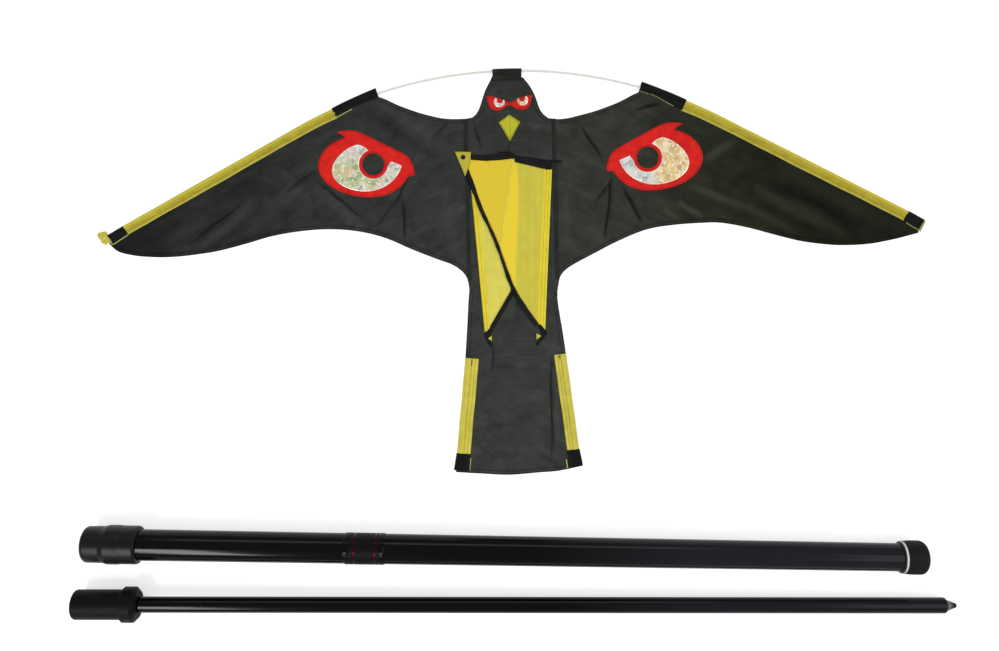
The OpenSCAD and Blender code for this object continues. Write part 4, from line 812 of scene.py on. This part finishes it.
facet = add(t, "ShaderNodeBump", {"Strength": 0.35, "Distance": 0.0006, "Height": cells.outputs["Distance"]})
t.links.new(facet.outputs[0], shader["Normal"])


def foil_hue(piece, gold_share, green_share):
    """Keeps the shares of the gold and the green sheen of a foil for each of its points."""
    keep(piece, "hue", np.stack(np.broadcast_arrays(gold_share, green_share, 0*gold_share), -1))


EYE_AT = np.array([187.5, -1.3])
patch_line = np.concatenate([
    cubic((-56.5, -16.6), (-56, -3), (-51, 9.0), (-39.7, 14.4), 12)[:-1],
    cubic((-39.7, 14.4), (-22, 23.9), (-5, 33.0), (13, 41.8), 14)[:-1],
    cubic((13, 41.8), (21, 46.4), (33, 49.4), (49.6, 45.0), 12)[:-1],
    cubic((49.6, 45.0), (44.6, 43.4), (40.2, 40.9), (37.7, 37.0), 8)[:-1],
    cubic((37.7, 37.0), (60.5, 32), (77.5, 14), (75, -4.8), 18)[:-1],
    cubic((75, -4.8), (70.6, -30), (37, -45.2), (2, -45), 20)[:-1],
    cubic((2, -45), (-21.2, -44.8), (-38.4, -33.8), (-46.8, -18), 16)])
foil_line = np.concatenate([
    cubic((6.5, 19.3), (11.5, 24.4), (16.5, 27.4), (22, 27.2), 8)[:-1],
    cubic((22, 27.2), (39, 23.0), (56.8, 6.2), (56.6, -8), 16)[:-1],
    cubic((56.6, -8), (56, -27), (30, -37.2), (9, -37.0), 16)[:-1],
    cubic((9, -37.0), (-17, -36.6), (-34.6, -18.7), (-38.8, -2.8), 14),
    [(-24.4, 3.4)], ring_of(0, 0, 19.8, 40, 192, 430)])
for side, way in (("left", -1), ("right", 1)):
    rings = [(EYE_AT + patch_line)*(way, 1), (EYE_AT + ring_of(0, 0, 15.0))*(way, 1)]
    rings = [r[::way] for r in rings]
    piece = patch("wing_eye_" + side, rings, 2.2, lambda u, v: lie(u, v) + 0.38, red_nylon)
    sewn_on(piece, "eye_patch_" + side)
    bright = [((EYE_AT + foil_line)*(way, 1))[::way]]
    crescent = patch("eye_crescent_" + side, bright, 1.6, lambda u, v: lie(u, v) + 0.72, foil, 0.22)
    q = cut_cloth(bright, 1.6)[0] - EYE_AT*(way, 1)
    if way > 0:
        foil_hue(crescent, np.clip((q[:, 0] + 0.4*q[:, 1] + 12)/24, 0.08, 0.95),
                 np.clip(0.12 + 0*q[:, 0], 0, 1))
    else:
        foil_hue(crescent, 0.12 + 0*q[:, 0], np.clip(1.35 - np.abs(q[:, 1] + 14)/28, 0,
                                                     0.95)*np.clip((24 - q[:, 0])/20, 0.3, 1))
    sewn_on(crescent, "eye_foil_" + side)


# Face: a red mask sewn to the head with a small foil crescent for each eye, and below it a yellow
# beak patch with a black overlocked edge.
brow = np.concatenate([cubic((0, 1.6), (6, 1.6), (13.5, 11.2), (32, 10.8), 14)[:-1],
                       cubic((32, 10.8), (28, 5.5), (31, -8.8), (16, -8.8), 14)[:-1],
                       cubic((16, -8.8), (8, -8.6), (4, -1.8), (0, -1.8), 10)])
mask_line = [(np.concatenate([brow, (brow*(-1, 1))[::-1][1:-1]]) + (0.5, 76.9))[::-1]]
mask = patch("face_mask_cloth", mask_line, 1.4, lambda u, v: lie(u, v) + 0.38, red_nylon)
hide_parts("face_mask")
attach(mask, "kite")
small_foil = 0.97*np.concatenate([ring_of(0, 0, 7.6, 26, -196, 48),
                                  ring_of(-1.0, 2.2, 4.5, 18, -190, 24)[::-1]])
points, faces, edges, sheen, base = [], [], [], [], 0
for way, at, warm in ((-1, (13.4, 79.6), 0.0), (1, (18.8, 81.4), 0.8)):
    p, f, e = cut_cloth([((small_foil + at)*(way, 1))[::way]], 1.0)
    points, faces, edges, base = points + [p], faces + [f + base], edges + [e + 0.6], base + len(p)
    sheen.append(np.full(len(p), warm))
points, faces, edges = np.concatenate(points), np.concatenate(faces), np.concatenate(edges)
face_foil = put_mesh("face_crescents", on_kite(points[:, 0], points[:, 1],
                                               lie(points[:, 0], points[:, 1]) + 0.72), faces,
                     points/1000, foil, 0.22, edges)
foil_hue(face_foil, np.concatenate(sheen), 0.0)
sewn_on(face_foil, "face_foils")
beak_line = [np.array([[0, 62], [-14.5, 51.5], [0, 26], [14.5, 51.5]], float)]
beak_yellow = nylon("beak_nylon", (0.41, 0.405, 0.022), (0.545, 0.53, 0.036), 60.0, 0.4, hem=1.2,
                    thread=(0.16, 0.14, 0.01),
                    Roughness=0.6, Specular_IOR_Level=0.1)
t = beak_yellow.node_tree
shader = t.nodes["Principled BSDF"].inputs
place = add(t, "ShaderNodeSeparateXYZ", {0: add(t, "ShaderNodeUVMap", uv_map="cloth").outputs[0]}).outputs
ruled = add(t, "ShaderNodeMapRange", {0: maths(t, "ABSOLUTE", maths(t, "SUBTRACT", place[0], 0.0006)),
                                      1: 0.0009, 2: 0.0002,
                                      4: 0.45}).outputs[0]
t.links.new(blend_colour(t, ruled, shader["Base Color"].links[0].from_socket, (0.13, 0.11, 0.01)),
            shader["Base Color"])
beak_cloth = patch("beak_cloth", beak_line, 1.4, lambda u, v: lie(u, v) + 0.38, beak_yellow)
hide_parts("beak")
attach(beak_cloth, "kite")


# Keel, fixed part: two yellow nylon panels hang under the belly on stitched hems. The left one lies
# flat on the sail, bound with black tape along its slanting lower edge.
def keel_nylon(name, pale, bright, line, hem=1.0):
    """Thin nylon that is brighter where it lies double: the attribute double goes from 0 to 1 there. line
    is the colour of the thread along its edges; soft bands run down it as it was rolled."""
    m = nylon(name, tuple(0.86*c for c in pale), pale, 50.0, 0.45, hem=hem, thread=line, Roughness=0.6,
              Specular_IOR_Level=0.12)
    t = m.node_tree
    shader = t.nodes["Principled BSDF"].inputs
    colour = shader["Base Color"].links[0].from_socket
    rolled = add(t, "ShaderNodeMapping", {0: add(t, "ShaderNodeUVMap", uv_map="cloth").outputs[0],
                                          3: (130, 9, 1)}).outputs[0]
    band = add(t, "ShaderNodeTexNoise", {"Vector": rolled, "Scale": 1.0, "Detail": 2.0}).outputs[0]
    band = add(t, "ShaderNodeMapRange", {0: band, 1: 0.35, 2: 0.65, 4: 0.5}).outputs[0]
    colour = blend_colour(t, band, colour, tuple(0.8*c for c in pale))
    share = add(t, "ShaderNodeAttribute", attribute_name="double").outputs["Fac"]
    t.links.new(blend_colour(t, share, colour, bright), shader["Base Color"])
    return m


def beside(line, u, v):
    """Signed distance of points from a line that runs down the sail: how far they lie to its left."""
    at = np.interp(-v, -line[:, 1], line[:, 0])
    return at - u


keel_yellow = keel_nylon("keel_nylon", (0.64, 0.565, 0.064), (0.80, 0.61, 0.036), (0.42, 0.34, 0.03))
pleat_yellow = keel_nylon("keel_pleat_nylon", (0.62, 0.50, 0.05), (0.75, 0.555, 0.034), (0.86, 0.74, 0.09),
                          hem=0.7)
hem_yellow = tape_nylon("keel_hem_nylon", (0.66, 0.54, 0.028), (0.78, 0.64, 0.040), [3.2, 7.6],
                        (0.34, 0.22, 0.015),
                        bands=((1.2, 0.3, 0.6, (0.82, 0.72, 0.10)),), Roughness=0.6, Specular_IOR_Level=0.12)
lower_yellow = keel_nylon("keel_lower_nylon", (0.72, 0.65, 0.108), (0.80, 0.66, 0.060), (0.42, 0.34, 0.03))
side_line = [np.array([[-53.9, -50], [-40.8, -236.5], [-38.8, -235.5], [-4.7, -179.6], [2, -160], [8, -70],
                       [5, -3],
                       [-56.3, -14.5]], float)]
lower = patch("keel_lower_panel", side_line, 3.0, lambda u, v: lie(u, v) + 0.35 + 0.12*np.sin(u/9 + v/17),
              lower_yellow)
keep(lower, "double", np.full(len(lower.data.vertices), 0.06))
sewn_on(lower, "keel_side")
bound_tape = tape_nylon("bound_tape", (0.0075, 0.0082, 0.0075), (0.0145, 0.0155, 0.0140), [0.5, 4.6],
                        (0.003, 0.003, 0.003), Roughness=0.75, Specular_IOR_Level=0.08)
bound_edge = np.array([[-0.8, -178.6], [-1.8, -181.4], [-19, -209.4], [-35.9, -237.3]])
side_bound = several("keel_lower_binding", [strip(bound_edge,
                                                  np.interp(np.linspace(0, 1, 60), [0, 0.15, 1],
                                                            [4.4, 5.0, 5.0]),
                                                  lambda u, v: lie(u, v) + 0.75, 60, crown=0.45)], 0.3,
                                                  bound_tape, turned=True)
sewn_on(side_bound, "keel_side_binding")
hinge = np.array([[47.3, -14.5], [33.3, -224.8]])
down = np.linspace(0, 1, 190)[:, None]
over = np.linspace(-0.45, 1, 14)[None, :]
left_u, left_v = (hinge[0, k] + (hinge[1, k] - hinge[0, k])*down for k in (0, 1))
hem_u = left_u + (56.3 + (41.6 - 56.3)*down - left_u)*over
hem_v = left_v + (-14.5 + (-236.2 + 14.5)*down - left_v)*over
hem_z = np.maximum(lie(hem_u, hem_v) + 0.5, 1.95 - 0.6*np.clip(over, 0, 1) + np.minimum(over, 0)*0.8)
hem_right = several("keel_hem_cloth_right", [(hem_u, hem_v, hem_z,
                                              np.stack(np.broadcast_arrays(222*down, 9.1*(1 - over)), -1))],
                    0.3, hem_yellow)
sewn_on(hem_right, "keel_hem_right")
hem_left = several("keel_hem_cloth_left", [strip(np.array([[-37.6, -230], [-50.2, -44]]), 7.6, lambda u,
                                                 v: lie(u, v) + 0.7,
                                                 160, rows=8, crown=0.1)], 0.3, hem_yellow, turned=True)
sewn_on(hem_left, "keel_hem_left")

# The tapes of the bindings end below the keel, each tacked down with a three-cornered scrap of yellow cloth.
tab_ends = several("keel_tape_ends", [
    strip(np.array([[-36.6, -234.5], [-38, -237.5], [-36, -246], [-31.5, -255]]), np.linspace(7.4, 3.4, 30),
          lambda u, v: lie(u, v) + 0.95, 30, crown=0.5),
    strip(np.array([[33.4, -226.5], [41.0, -237.6], [34, -247], [30, -254]]),
          np.interp(np.linspace(0, 1, 44), [0, 0.5, 1], [5.4, 6.8, 3.4]),
          lambda u, v: np.maximum(lie(u, v) + 0.95, 1.9 + 0*u), 44, crown=0.5)], 0.3, bound_tape, turned=True)
sewn_on(tab_ends, "keel_tabs")
scrap_lines = [np.array([[-36.6, -243.0], [-31.4, -246.9], [-31.4, -239.4]]),
               np.array([[36.4, -241.3], [29.7, -237.7], [29.7, -246.4]])]
points, faces, base = [], [], 0
for ring in scrap_lines:
    p, f, _ = cut_cloth([ring], 1.2)
    points, faces, base = points + [p], faces + [f + base], base + len(p)
points, faces = np.concatenate(points), np.concatenate(faces)
tab_scraps = put_mesh("keel_tape_scraps", on_kite(points[:, 0], points[:, 1],
                                                  np.maximum(lie(points[:, 0], points[:, 1]) + 1.75, 2.7)),
                      faces, points/1000, tail_yellow, 0.25)
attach(tab_scraps, "kite")


# Keel, upper flap: the right panel folded over flat to the left, with a pleat in its middle, black tape
# bound round its slanting free edge and along its top, and an eyelet in the doubled corner.
free_edge = np.concatenate([cubic((-57.9, -9.5), (-50, -34), (-43, -56), (-36.5, -72.1), 14)[:-1],
                            cubic((-36.5, -72.1), (-29, -89), (-21.5, -105), (-16.4, -121.2), 12)[:-1],
                            cubic((-16.4, -121.2), (-9.5, -142), (-6, -156), (0.5, -171.8), 12)[:-1],
                            cubic((0.5, -171.8), (9, -192), (24, -213), (33.0, -224.6), 14)])
top_edge = np.array([(5.4, 1.4), (-14, -0.6), (-34, -1.2), (-54, 0.8)])
flap_line = [np.concatenate([[(46.9, -13.3), (6, -2.5)], top_edge, [(-55.5, -2)], free_edge])]
pleat_b = np.array([[6.5, 2], [10.5, -30], [9.5, -70], [4, -140], [2, -230.0]])
pleat_a = np.array([[5.3, 2], [-15.5, -119.5]])


def flap_up(u, v):
    """Height of the flap: just above its hinge, with a slow swell, and a low ridge along the inner fold."""
    near = np.interp(-v, -hinge[:, 1], hinge[:, 0]) - u
    ridge = 0.25*np.exp(-(beside(pleat_b, u, v)/3.0)**2)
    return 2.06 + np.clip(near/20, 0, 1)*(0.16 + 0.14*np.sin(u/17 + v/40) + 0.1*np.sin(v/23 - u/31)) + ridge


def on_flap(piece, node):
    """Puts a piece of the flap in its node's place, on the swinging keel."""
    if node:
        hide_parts(node)
    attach(piece, "keel")


flap = patch("keel_flap", flap_line, 3.0, flap_up, keel_yellow)
q = cut_cloth(flap_line, 3.0)[0]
keep(flap, "double", np.clip(beside(pleat_b, q[:, 0], q[:, 1])/3 + 0.5, 0, 1))
on_flap(flap, "keel_panel")


def pleat_up(u, v):
    """Height of the pleat on the flap: it comes down to it along the fold."""
    return flap_up(u, v) + 0.62 - 0.30*np.exp(-(beside(pleat_a, u, v)/2.2)**2)


over_line = [np.concatenate([top_edge + (-0.1, 0.3), [(-55.6, -2)], free_edge[:26], [(-15.5, -119.0)]])]
pleat = patch("keel_pleat", over_line, 2.6, pleat_up, pleat_yellow, 0.16)
q = cut_cloth(over_line, 2.6)[0]
keep(pleat, "double", 0.85*(1 - np.exp(-(beside(pleat_a, q[:, 0], q[:, 1])/2.0)**2)))
on_flap(pleat, None)
fold_yellow = tape_nylon("keel_fold_nylon", (0.70, 0.58, 0.058), (0.80, 0.68, 0.088), [9.0],
                         (0.42, 0.34, 0.03), Roughness=0.6,
                         Specular_IOR_Level=0.12)
pleat_fold = several("keel_pleat_fold", [strip(np.array([[4.1, 0.6], [-16.4, -119.0]]), 2.1, lambda u,
                                               v: pleat_up(u, v) + 0.1, 90,
                                               crown=0.14)], 0.2, fold_yellow, turned=True)
on_flap(pleat_fold, None)
back_line = [np.array([[5, -3], [-50, -3], [-52, -40], [-40, -74], [-19, -116], [-3, -160], [2, -150],
                       [8, -70]], float)]
back = patch("keel_inner_fold", back_line, 4.0, lambda u, v: flap_up(u, v) - 0.42, keel_yellow)
keep(back, "double", np.ones(len(back.data.vertices)))
on_flap(back, "keel_back")
free_run = np.concatenate([[(-60.5, -17)], free_edge[3:] + (-2.5, -1.5)])
edge_l = np.linspace(0, 1, 170)
edge_w = np.interp(edge_l, [0, 0.12, 0.3, 0.5, 0.7, 0.8, 1], [6.6, 6.2, 4.6, 4.0, 4.8, 6.2, 6.4])
edge_w = edge_w + 0.5*np.sin(edge_l*31) + 0.4*np.sin(edge_l*67 + 1)
edge_bound = several("keel_edge_binding_tape",
                     [strip(free_run, edge_w, lambda u, v: flap_up(u, v) + 0.75, 170, rows=7, crown=0.6)],
                     0.3, bound_tape, turned=True)
on_flap(edge_bound, "keel_edge_binding")
top_left = np.array([(5.1, 3.0, 5.7), (-0.6, 5.2, 10.4), (-10, 5.3, 11.6), (-30, 3.1, 7.9), (-54, 4.3, 6.0)])
top_bound = several("keel_top_binding_tape", [
    strip(np.array([[47.1, -7.4], [27, -3.2], [6.2, 1.0]]), np.linspace(12.9, 8.5, 50), lambda u,
          v: flap_up(u, v) + 0.1, 50,
          rows=7, crown=0.5),
    strip(through(top_left[:, :2], 8), np.interp(np.linspace(5.1, -54, 70), top_left[::-1, 0],
                                                 top_left[::-1, 2]),
          lambda u, v: flap_up(u, v) + 0.35, 70, rows=7, crown=0.5)], 0.3, bound_tape, turned=True)
on_flap(top_bound, "keel_top_binding")
corner_line = [np.array([[-53.8, 12.0], [-75.6, 12.8], [-62.4, -21.2], [-57.6, -10], [-54.6, -2]], float),
               ring_of(-64.6, 5, 1.95, 20)]
corner_olive = keel_nylon("keel_corner_nylon", (0.48, 0.42, 0.04), (0.62, 0.53, 0.05), (0.28, 0.22, 0.02),
                          hem=1.3)
corner = patch("keel_corner_cloth", corner_line, 1.6, lambda u,
               v: flap_up(u, v) + 0.8 + 0.7*np.clip((-6 - v)/8, 0, 1), corner_olive)
keep(corner, "double", np.full(len(corner.data.vertices), 0.3))
on_flap(corner, "keel_corner")
mouth_tape = several("mouth_tape_end", [
    strip(np.array([[46.9, -7.4], [56.2, -8.7]]), np.linspace(12.7, 11.4, 20), lambda u, v: lie(u, v) + 0.42,
          20, crown=0.15),
    strip(np.array([[47.3, -2.6], [60, -3.3], [70, -3.8]]), np.linspace(3.8, 3.0, 30), lambda u,
          v: lie(u, v) + 0.62, 30,
          crown=0.2)], 0.3, bound_tape, turned=True)
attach(mouth_tape, "kite")


# Telescopic pole: six tapered tubes, drawn in, under a deep black gloss lacquer. A band of thread
# with two red rings is whipped round the largest tube and lacquered over.
lacquer, t, shader = paint("pole_lacquer", Specular_IOR_Level=0.12)
here = add(t, "ShaderNodeTexCoord").outputs["Object"]
haze = add(t, "ShaderNodeTexNoise", {"Vector": here, "Scale": 9.0, "Detail": 3.0}).outputs[0]
specks = add(t, "ShaderNodeTexNoise", {"Vector": here, "Scale": 900.0, "Detail": 2.0}).outputs[0]
along = add(t, "ShaderNodeSeparateXYZ", {0: here}).outputs[0]
# Painted reflection: towards the tip a bluish grey haze is painted into the lacquer's colour.
painted_reflection_haze = add(t, "ShaderNodeMapRange", {0: along, 1: 0.03, 2: 0.24}).outputs[0]
black = blend_colour(t, haze, (0.0006, 0.0006, 0.0008), (0.0016, 0.0016, 0.0019))
t.links.new(blend_colour(t, painted_reflection_haze, black, (0.0112, 0.0108, 0.0145)), shader["Base Color"])
t.links.new(add(t, "ShaderNodeMapRange", {0: haze, 3: 0.09, 4: 0.17}).outputs[0], shader["Roughness"])
t.links.new(add(t, "ShaderNodeBump", {"Strength": 0.04, "Distance": 0.0002, "Height": specks}).outputs[0],
            shader["Normal"])


def thread_under_lacquer(name, dark, light, **sockets):
    """Thread wound side by side: a sine along the pole for its turns, under a coat of lacquer."""
    m, t, shader = paint(name, **sockets)
    x = add(t, "ShaderNodeSeparateXYZ", {0: add(t, "ShaderNodeTexCoord").outputs["Object"]}).outputs[0]
    turn = maths(t, "SINE", maths(t, "MULTIPLY", x, 2*math.pi/0.0006))
    uneven = add(t, "ShaderNodeTexNoise", {"Vector": add(t, "ShaderNodeTexCoord").outputs["Object"],
                                           "Scale": 300.0}).outputs[0]
    t.links.new(blend_colour(t, uneven, dark, light), shader["Base Color"])
    t.links.new(add(t, "ShaderNodeBump", {"Strength": 0.25, "Distance": 0.00015, "Height": turn}).outputs[0],
                shader["Normal"])
    return m


for name in ["pole_section_%d" % k for k in range(1, 7)]:
    finish_node(name, lacquer)
black_whipping = thread_under_lacquer("black_whipping", (0.0008, 0.0008, 0.0008), (0.002, 0.002, 0.002),
                                      Specular_IOR_Level=0.10)
t = black_whipping.node_tree
shader = t.nodes["Principled BSDF"].inputs
(band_x0, _, _), (band_x1, _, _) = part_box("whipping_band")
band_mid, band_half = (band_x0 + band_x1)/2, (band_x1 - band_x0)/2
x = add(t, "ShaderNodeSeparateXYZ", {0: add(t, "ShaderNodeTexCoord").outputs["Object"]}).outputs[0]
from_mid = maths(t, "ABSOLUTE", maths(t, "SUBTRACT", x, float(band_mid)))
lip = add(t, "ShaderNodeMapRange", {0: from_mid, 1: float(0.68*band_half), 2: float(0.76*band_half)}).outputs[0]
t.links.new(add(t, "ShaderNodeMapRange", {0: lip, 3: 0.5, 4: 0.06}).outputs[0], shader["Roughness"])
finish_node("whipping_band", black_whipping)
finish_node("whipping_rings", thread_under_lacquer("red_whipping", (0.010, 0.0025, 0.003),
                                                   (0.020, 0.004, 0.005), Roughness=0.14,
                                                   Specular_IOR_Level=0.28, Specular_Tint=(1.0, 0.03, 0.08)))


# Caps: a soft black rubber cap on the pole's butt, a moulded cap with a pale ring at its rim on the tip.
def moulded(name, dark, light, grain, rough, **sockets):
    """Moulded plastic or rubber: a fine grain in its surface and a slow cloud of dust in its colour."""
    m, t, shader = paint(name, **sockets)
    here = add(t, "ShaderNodeTexCoord").outputs["Object"]
    dust = add(t, "ShaderNodeTexNoise", {"Vector": here, "Scale": 30.0, "Detail": 5.0}).outputs[0]
    fine = add(t, "ShaderNodeTexNoise", {"Vector": here, "Scale": grain, "Detail": 3.0}).outputs[0]
    t.links.new(blend_colour(t, dust, dark, light), shader["Base Color"])
    t.links.new(add(t, "ShaderNodeMapRange", {0: fine, 3: rough[0], 4: rough[1]}).outputs[0],
                shader["Roughness"])
    t.links.new(add(t, "ShaderNodeBump", {"Strength": 0.2, "Distance": 0.0003, "Height": fine}).outputs[0],
                shader["Normal"])
    return m


def shade_along(material, box, clear, full, tint):
    """Gives part of a piece another colour: from where along X in its box, as a share of its length, the
    tint starts to where it is full."""
    t = material.node_tree
    shader = t.nodes["Principled BSDF"].inputs
    x = add(t, "ShaderNodeSeparateXYZ", {0: add(t, "ShaderNodeTexCoord").outputs["Object"]}).outputs[0]
    (x0, _, _), (x1, _, _) = box
    part = add(t, "ShaderNodeMapRange", {0: x, 1: float(x0 + (x1 - x0)*clear),
                                         2: float(x0 + (x1 - x0)*full)}).outputs[0]
    t.links.new(blend_colour(t, part, shader["Base Color"].links[0].from_socket, tint), shader["Base Color"])


finish_node("butt_cap", moulded("soft_cap", (0.0025, 0.0025, 0.003), (0.006, 0.006, 0.0068), 700.0,
                                (0.28, 0.42),
                                Specular_IOR_Level=0.16))
finish_node("tip_cap", moulded("tip_cap_black", (0.0055, 0.0058, 0.0070), (0.010, 0.0105, 0.0125), 900.0,
                               (0.5, 0.7),
                               Specular_IOR_Level=0.1))
pale_ring = moulded("pale_ring", (0.58, 0.58, 0.57), (0.74, 0.74, 0.72), 500.0, (0.35, 0.5))
# Painted shade: the part of the pale ring towards the pole is coloured near black.
shade_along(pale_ring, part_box("tip_cap_ring"), 0.52, 0.42, (0.006, 0.006, 0.007))
finish_node("tip_cap_ring", pale_ring)


def bare_metal(name, dark, light, rough, stretch):
    """Bare metal: fine marks along the turning, as noise stretched round the axis."""
    m, t, shader = paint(name, Metallic=1.0)
    here = add(t, "ShaderNodeMapping", {0: add(t, "ShaderNodeTexCoord").outputs["Object"],
                                        3: stretch}).outputs[0]
    marks = add(t, "ShaderNodeTexNoise", {"Vector": here, "Scale": 90.0, "Detail": 4.0}).outputs[0]
    t.links.new(blend_colour(t, marks, dark, light), shader["Base Color"])
    t.links.new(add(t, "ShaderNodeMapRange", {0: marks, 3: rough[0], 4: rough[1]}).outputs[0],
                shader["Roughness"])
    t.links.new(add(t, "ShaderNodeBump", {"Strength": 0.1, "Distance": 0.0002, "Height": marks}).outputs[0],
                shader["Normal"])
    return m


bright_steel = bare_metal("bright_steel", (0.42, 0.42, 0.43), (0.66, 0.66, 0.67), (0.2, 0.4), (1, 1, 1))
finish_node("tip_swivel", bright_steel)
eyelet_metal = bare_metal("eyelet_metal", (0.46, 0.38, 0.16), (0.70, 0.60, 0.30), (0.25, 0.45), (1, 1, 1))
t = eyelet_metal.node_tree
shader = t.nodes["Principled BSDF"].inputs
# Painted shade: the eyelet's metal is coloured near black within 2.7 mm of its axis, fading out by 3.3 mm.
bored_at = on_kite(-64.6, 5.0, 0.0)
away = add(t, "ShaderNodeVectorMath", {0: add(t, "ShaderNodeTexCoord").outputs["Object"], 1: tuple(bored_at)},
           operation="SUBTRACT")
away = add(t, "ShaderNodeVectorMath", {0: away.outputs[0], 1: (1, 1, 0)}, operation="MULTIPLY")
away = add(t, "ShaderNodeVectorMath", {0: away.outputs[0]}, operation="LENGTH").outputs["Value"]
painted_hole_shade = add(t, "ShaderNodeMapRange", {0: away, 1: 0.0033, 2: 0.0027}).outputs[0]
t.links.new(blend_colour(t, painted_hole_shade, shader["Base Color"].links[0].from_socket, (0.012, 0.012, 0.010)),
            shader["Base Color"])
finish_node("keel_eyelet", eyelet_metal)


# Ground stake: a black painted steel tube with a bare turned point, and a plug of black plastic with a
# collar at its other end, on which the pole's butt is set.
stake_paint, t, shader = paint("stake_paint", Specular_IOR_Level=0.12)
here = add(t, "ShaderNodeTexCoord").outputs["Object"]
haze = add(t, "ShaderNodeTexNoise", {"Vector": here, "Scale": 14.0, "Detail": 4.0}).outputs[0]
peel = add(t, "ShaderNodeTexNoise", {"Vector": here, "Scale": 500.0, "Detail": 2.0}).outputs[0]
along = add(t, "ShaderNodeSeparateXYZ", {0: here}).outputs[0]
# Painted reflection: further along X a bluish grey haze is painted into the stake's colour.
painted_reflection_haze = add(t, "ShaderNodeMapRange", {0: along, 1: 0.06, 2: 0.24}).outputs[0]
black = blend_colour(t, haze, (0.0005, 0.0005, 0.0006), (0.0012, 0.0012, 0.0013))
t.links.new(blend_colour(t, painted_reflection_haze, black, (0.0085, 0.0082, 0.0112)), shader["Base Color"])
t.links.new(add(t, "ShaderNodeMapRange", {0: haze, 3: 0.11, 4: 0.2}).outputs[0], shader["Roughness"])
t.links.new(add(t, "ShaderNodeBump", {"Strength": 0.06, "Distance": 0.0002, "Height": peel}).outputs[0],
            shader["Normal"])
finish_node("stake_tube", stake_paint)
point_steel = bare_metal("point_steel", (0.13, 0.13, 0.125), (0.40, 0.40, 0.39), (0.3, 0.5), (6, 1, 1))
shade_along(point_steel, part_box("stake_point"), 0.74, 0.92, (0.015, 0.015, 0.015))
finish_node("stake_point", point_steel)
plug_plastic = moulded("plug_plastic", (0.0015, 0.0015, 0.0015), (0.004, 0.004, 0.004), 600.0, (0.4, 0.6),
                       Specular_IOR_Level=0.08)
for name in ("plug_sleeve", "plug_collar", "plug_core"):
    finish_node(name, plug_plastic)


# Floor and light: a white paper floor that shines a little towards the camera, an even room, a narrow
# window-like lamp on the left of the poles' side, a broad panel on the right, and a fill behind the head.
floor_paper, t, shader = paint("white_paper", Roughness=0.9, Specular_IOR_Level=0.1)
fibre = add(t, "ShaderNodeTexNoise", {"Vector": add(t, "ShaderNodeTexCoord").outputs["Object"],
                                      "Scale": 60.0}).outputs[0]
t.links.new(blend_colour(t, fibre, (0.58, 0.58, 0.58), (0.60, 0.60, 0.60)), shader["Base Color"])
path = add(t, "ShaderNodeLightPath").outputs
seen = maths(t, "MAXIMUM", path["Is Camera Ray"],
             maths(t, "MAXIMUM", path["Is Glossy Ray"], path["Is Transmission Ray"]))
glow = add(t, "ShaderNodeEmission", {"Color": (1, 1, 1, 1), "Strength": maths(t, "MULTIPLY", seen, 0.62)})
both = add(t, "ShaderNodeAddShader", {0: t.nodes["Principled BSDF"].outputs[0], 1: glow.outputs[0]})
t.links.new(both.outputs[0], t.nodes["Material Output"].inputs["Surface"])
reach = np.linspace(-14, 14, 9)
gx, gy = np.meshgrid(reach, reach, indexing="ij")
floor = put_mesh("paper_floor", np.stack([gx, gy, np.full_like(gx, -0.0004)], -1), net_faces(9, 9, turned=True),
                 np.stack([gx, gy], -1), floor_paper)


def lamp(name, at, aim, wide, tall, watts, colour):
    """An oblong area lamp at a place, turned to shine at its aim."""
    data = bpy.data.lights.new(name, "AREA")
    data.shape, data.size, data.size_y, data.energy, data.color = "RECTANGLE", wide, tall, watts, colour
    made = bpy.data.objects.new(name, data)
    made.location = at
    made.rotation_euler = (Vector(aim) - Vector(at)).to_track_quat("-Z", "Y").to_euler()
    bpy.context.scene.collection.objects.link(made)


lamp("strip_window", (-1.07, -1.45, 1.5), (-1.07, -1.45, 0), 0.32, 1.5, 34, (0.96, 0.98, 1.0))
lamp("right_panel", (2.15, -0.2, 1.7), (0.1, -0.1, 0), 2.2, 2.2, 30, (1.0, 0.99, 0.97))
lamp("far_fill", (-0.2, 2.2, 1.7), (0, 0.1, 0), 2.4, 0.7, 12, (1.0, 1.0, 1.0))
room = bpy.data.worlds.new("room")
bpy.context.scene.world = room
room.use_nodes = True
room.node_tree.nodes["Background"].inputs[0].default_value = (1, 1, 1, 1)
room.node_tree.nodes["Background"].inputs[1].default_value = 0.5
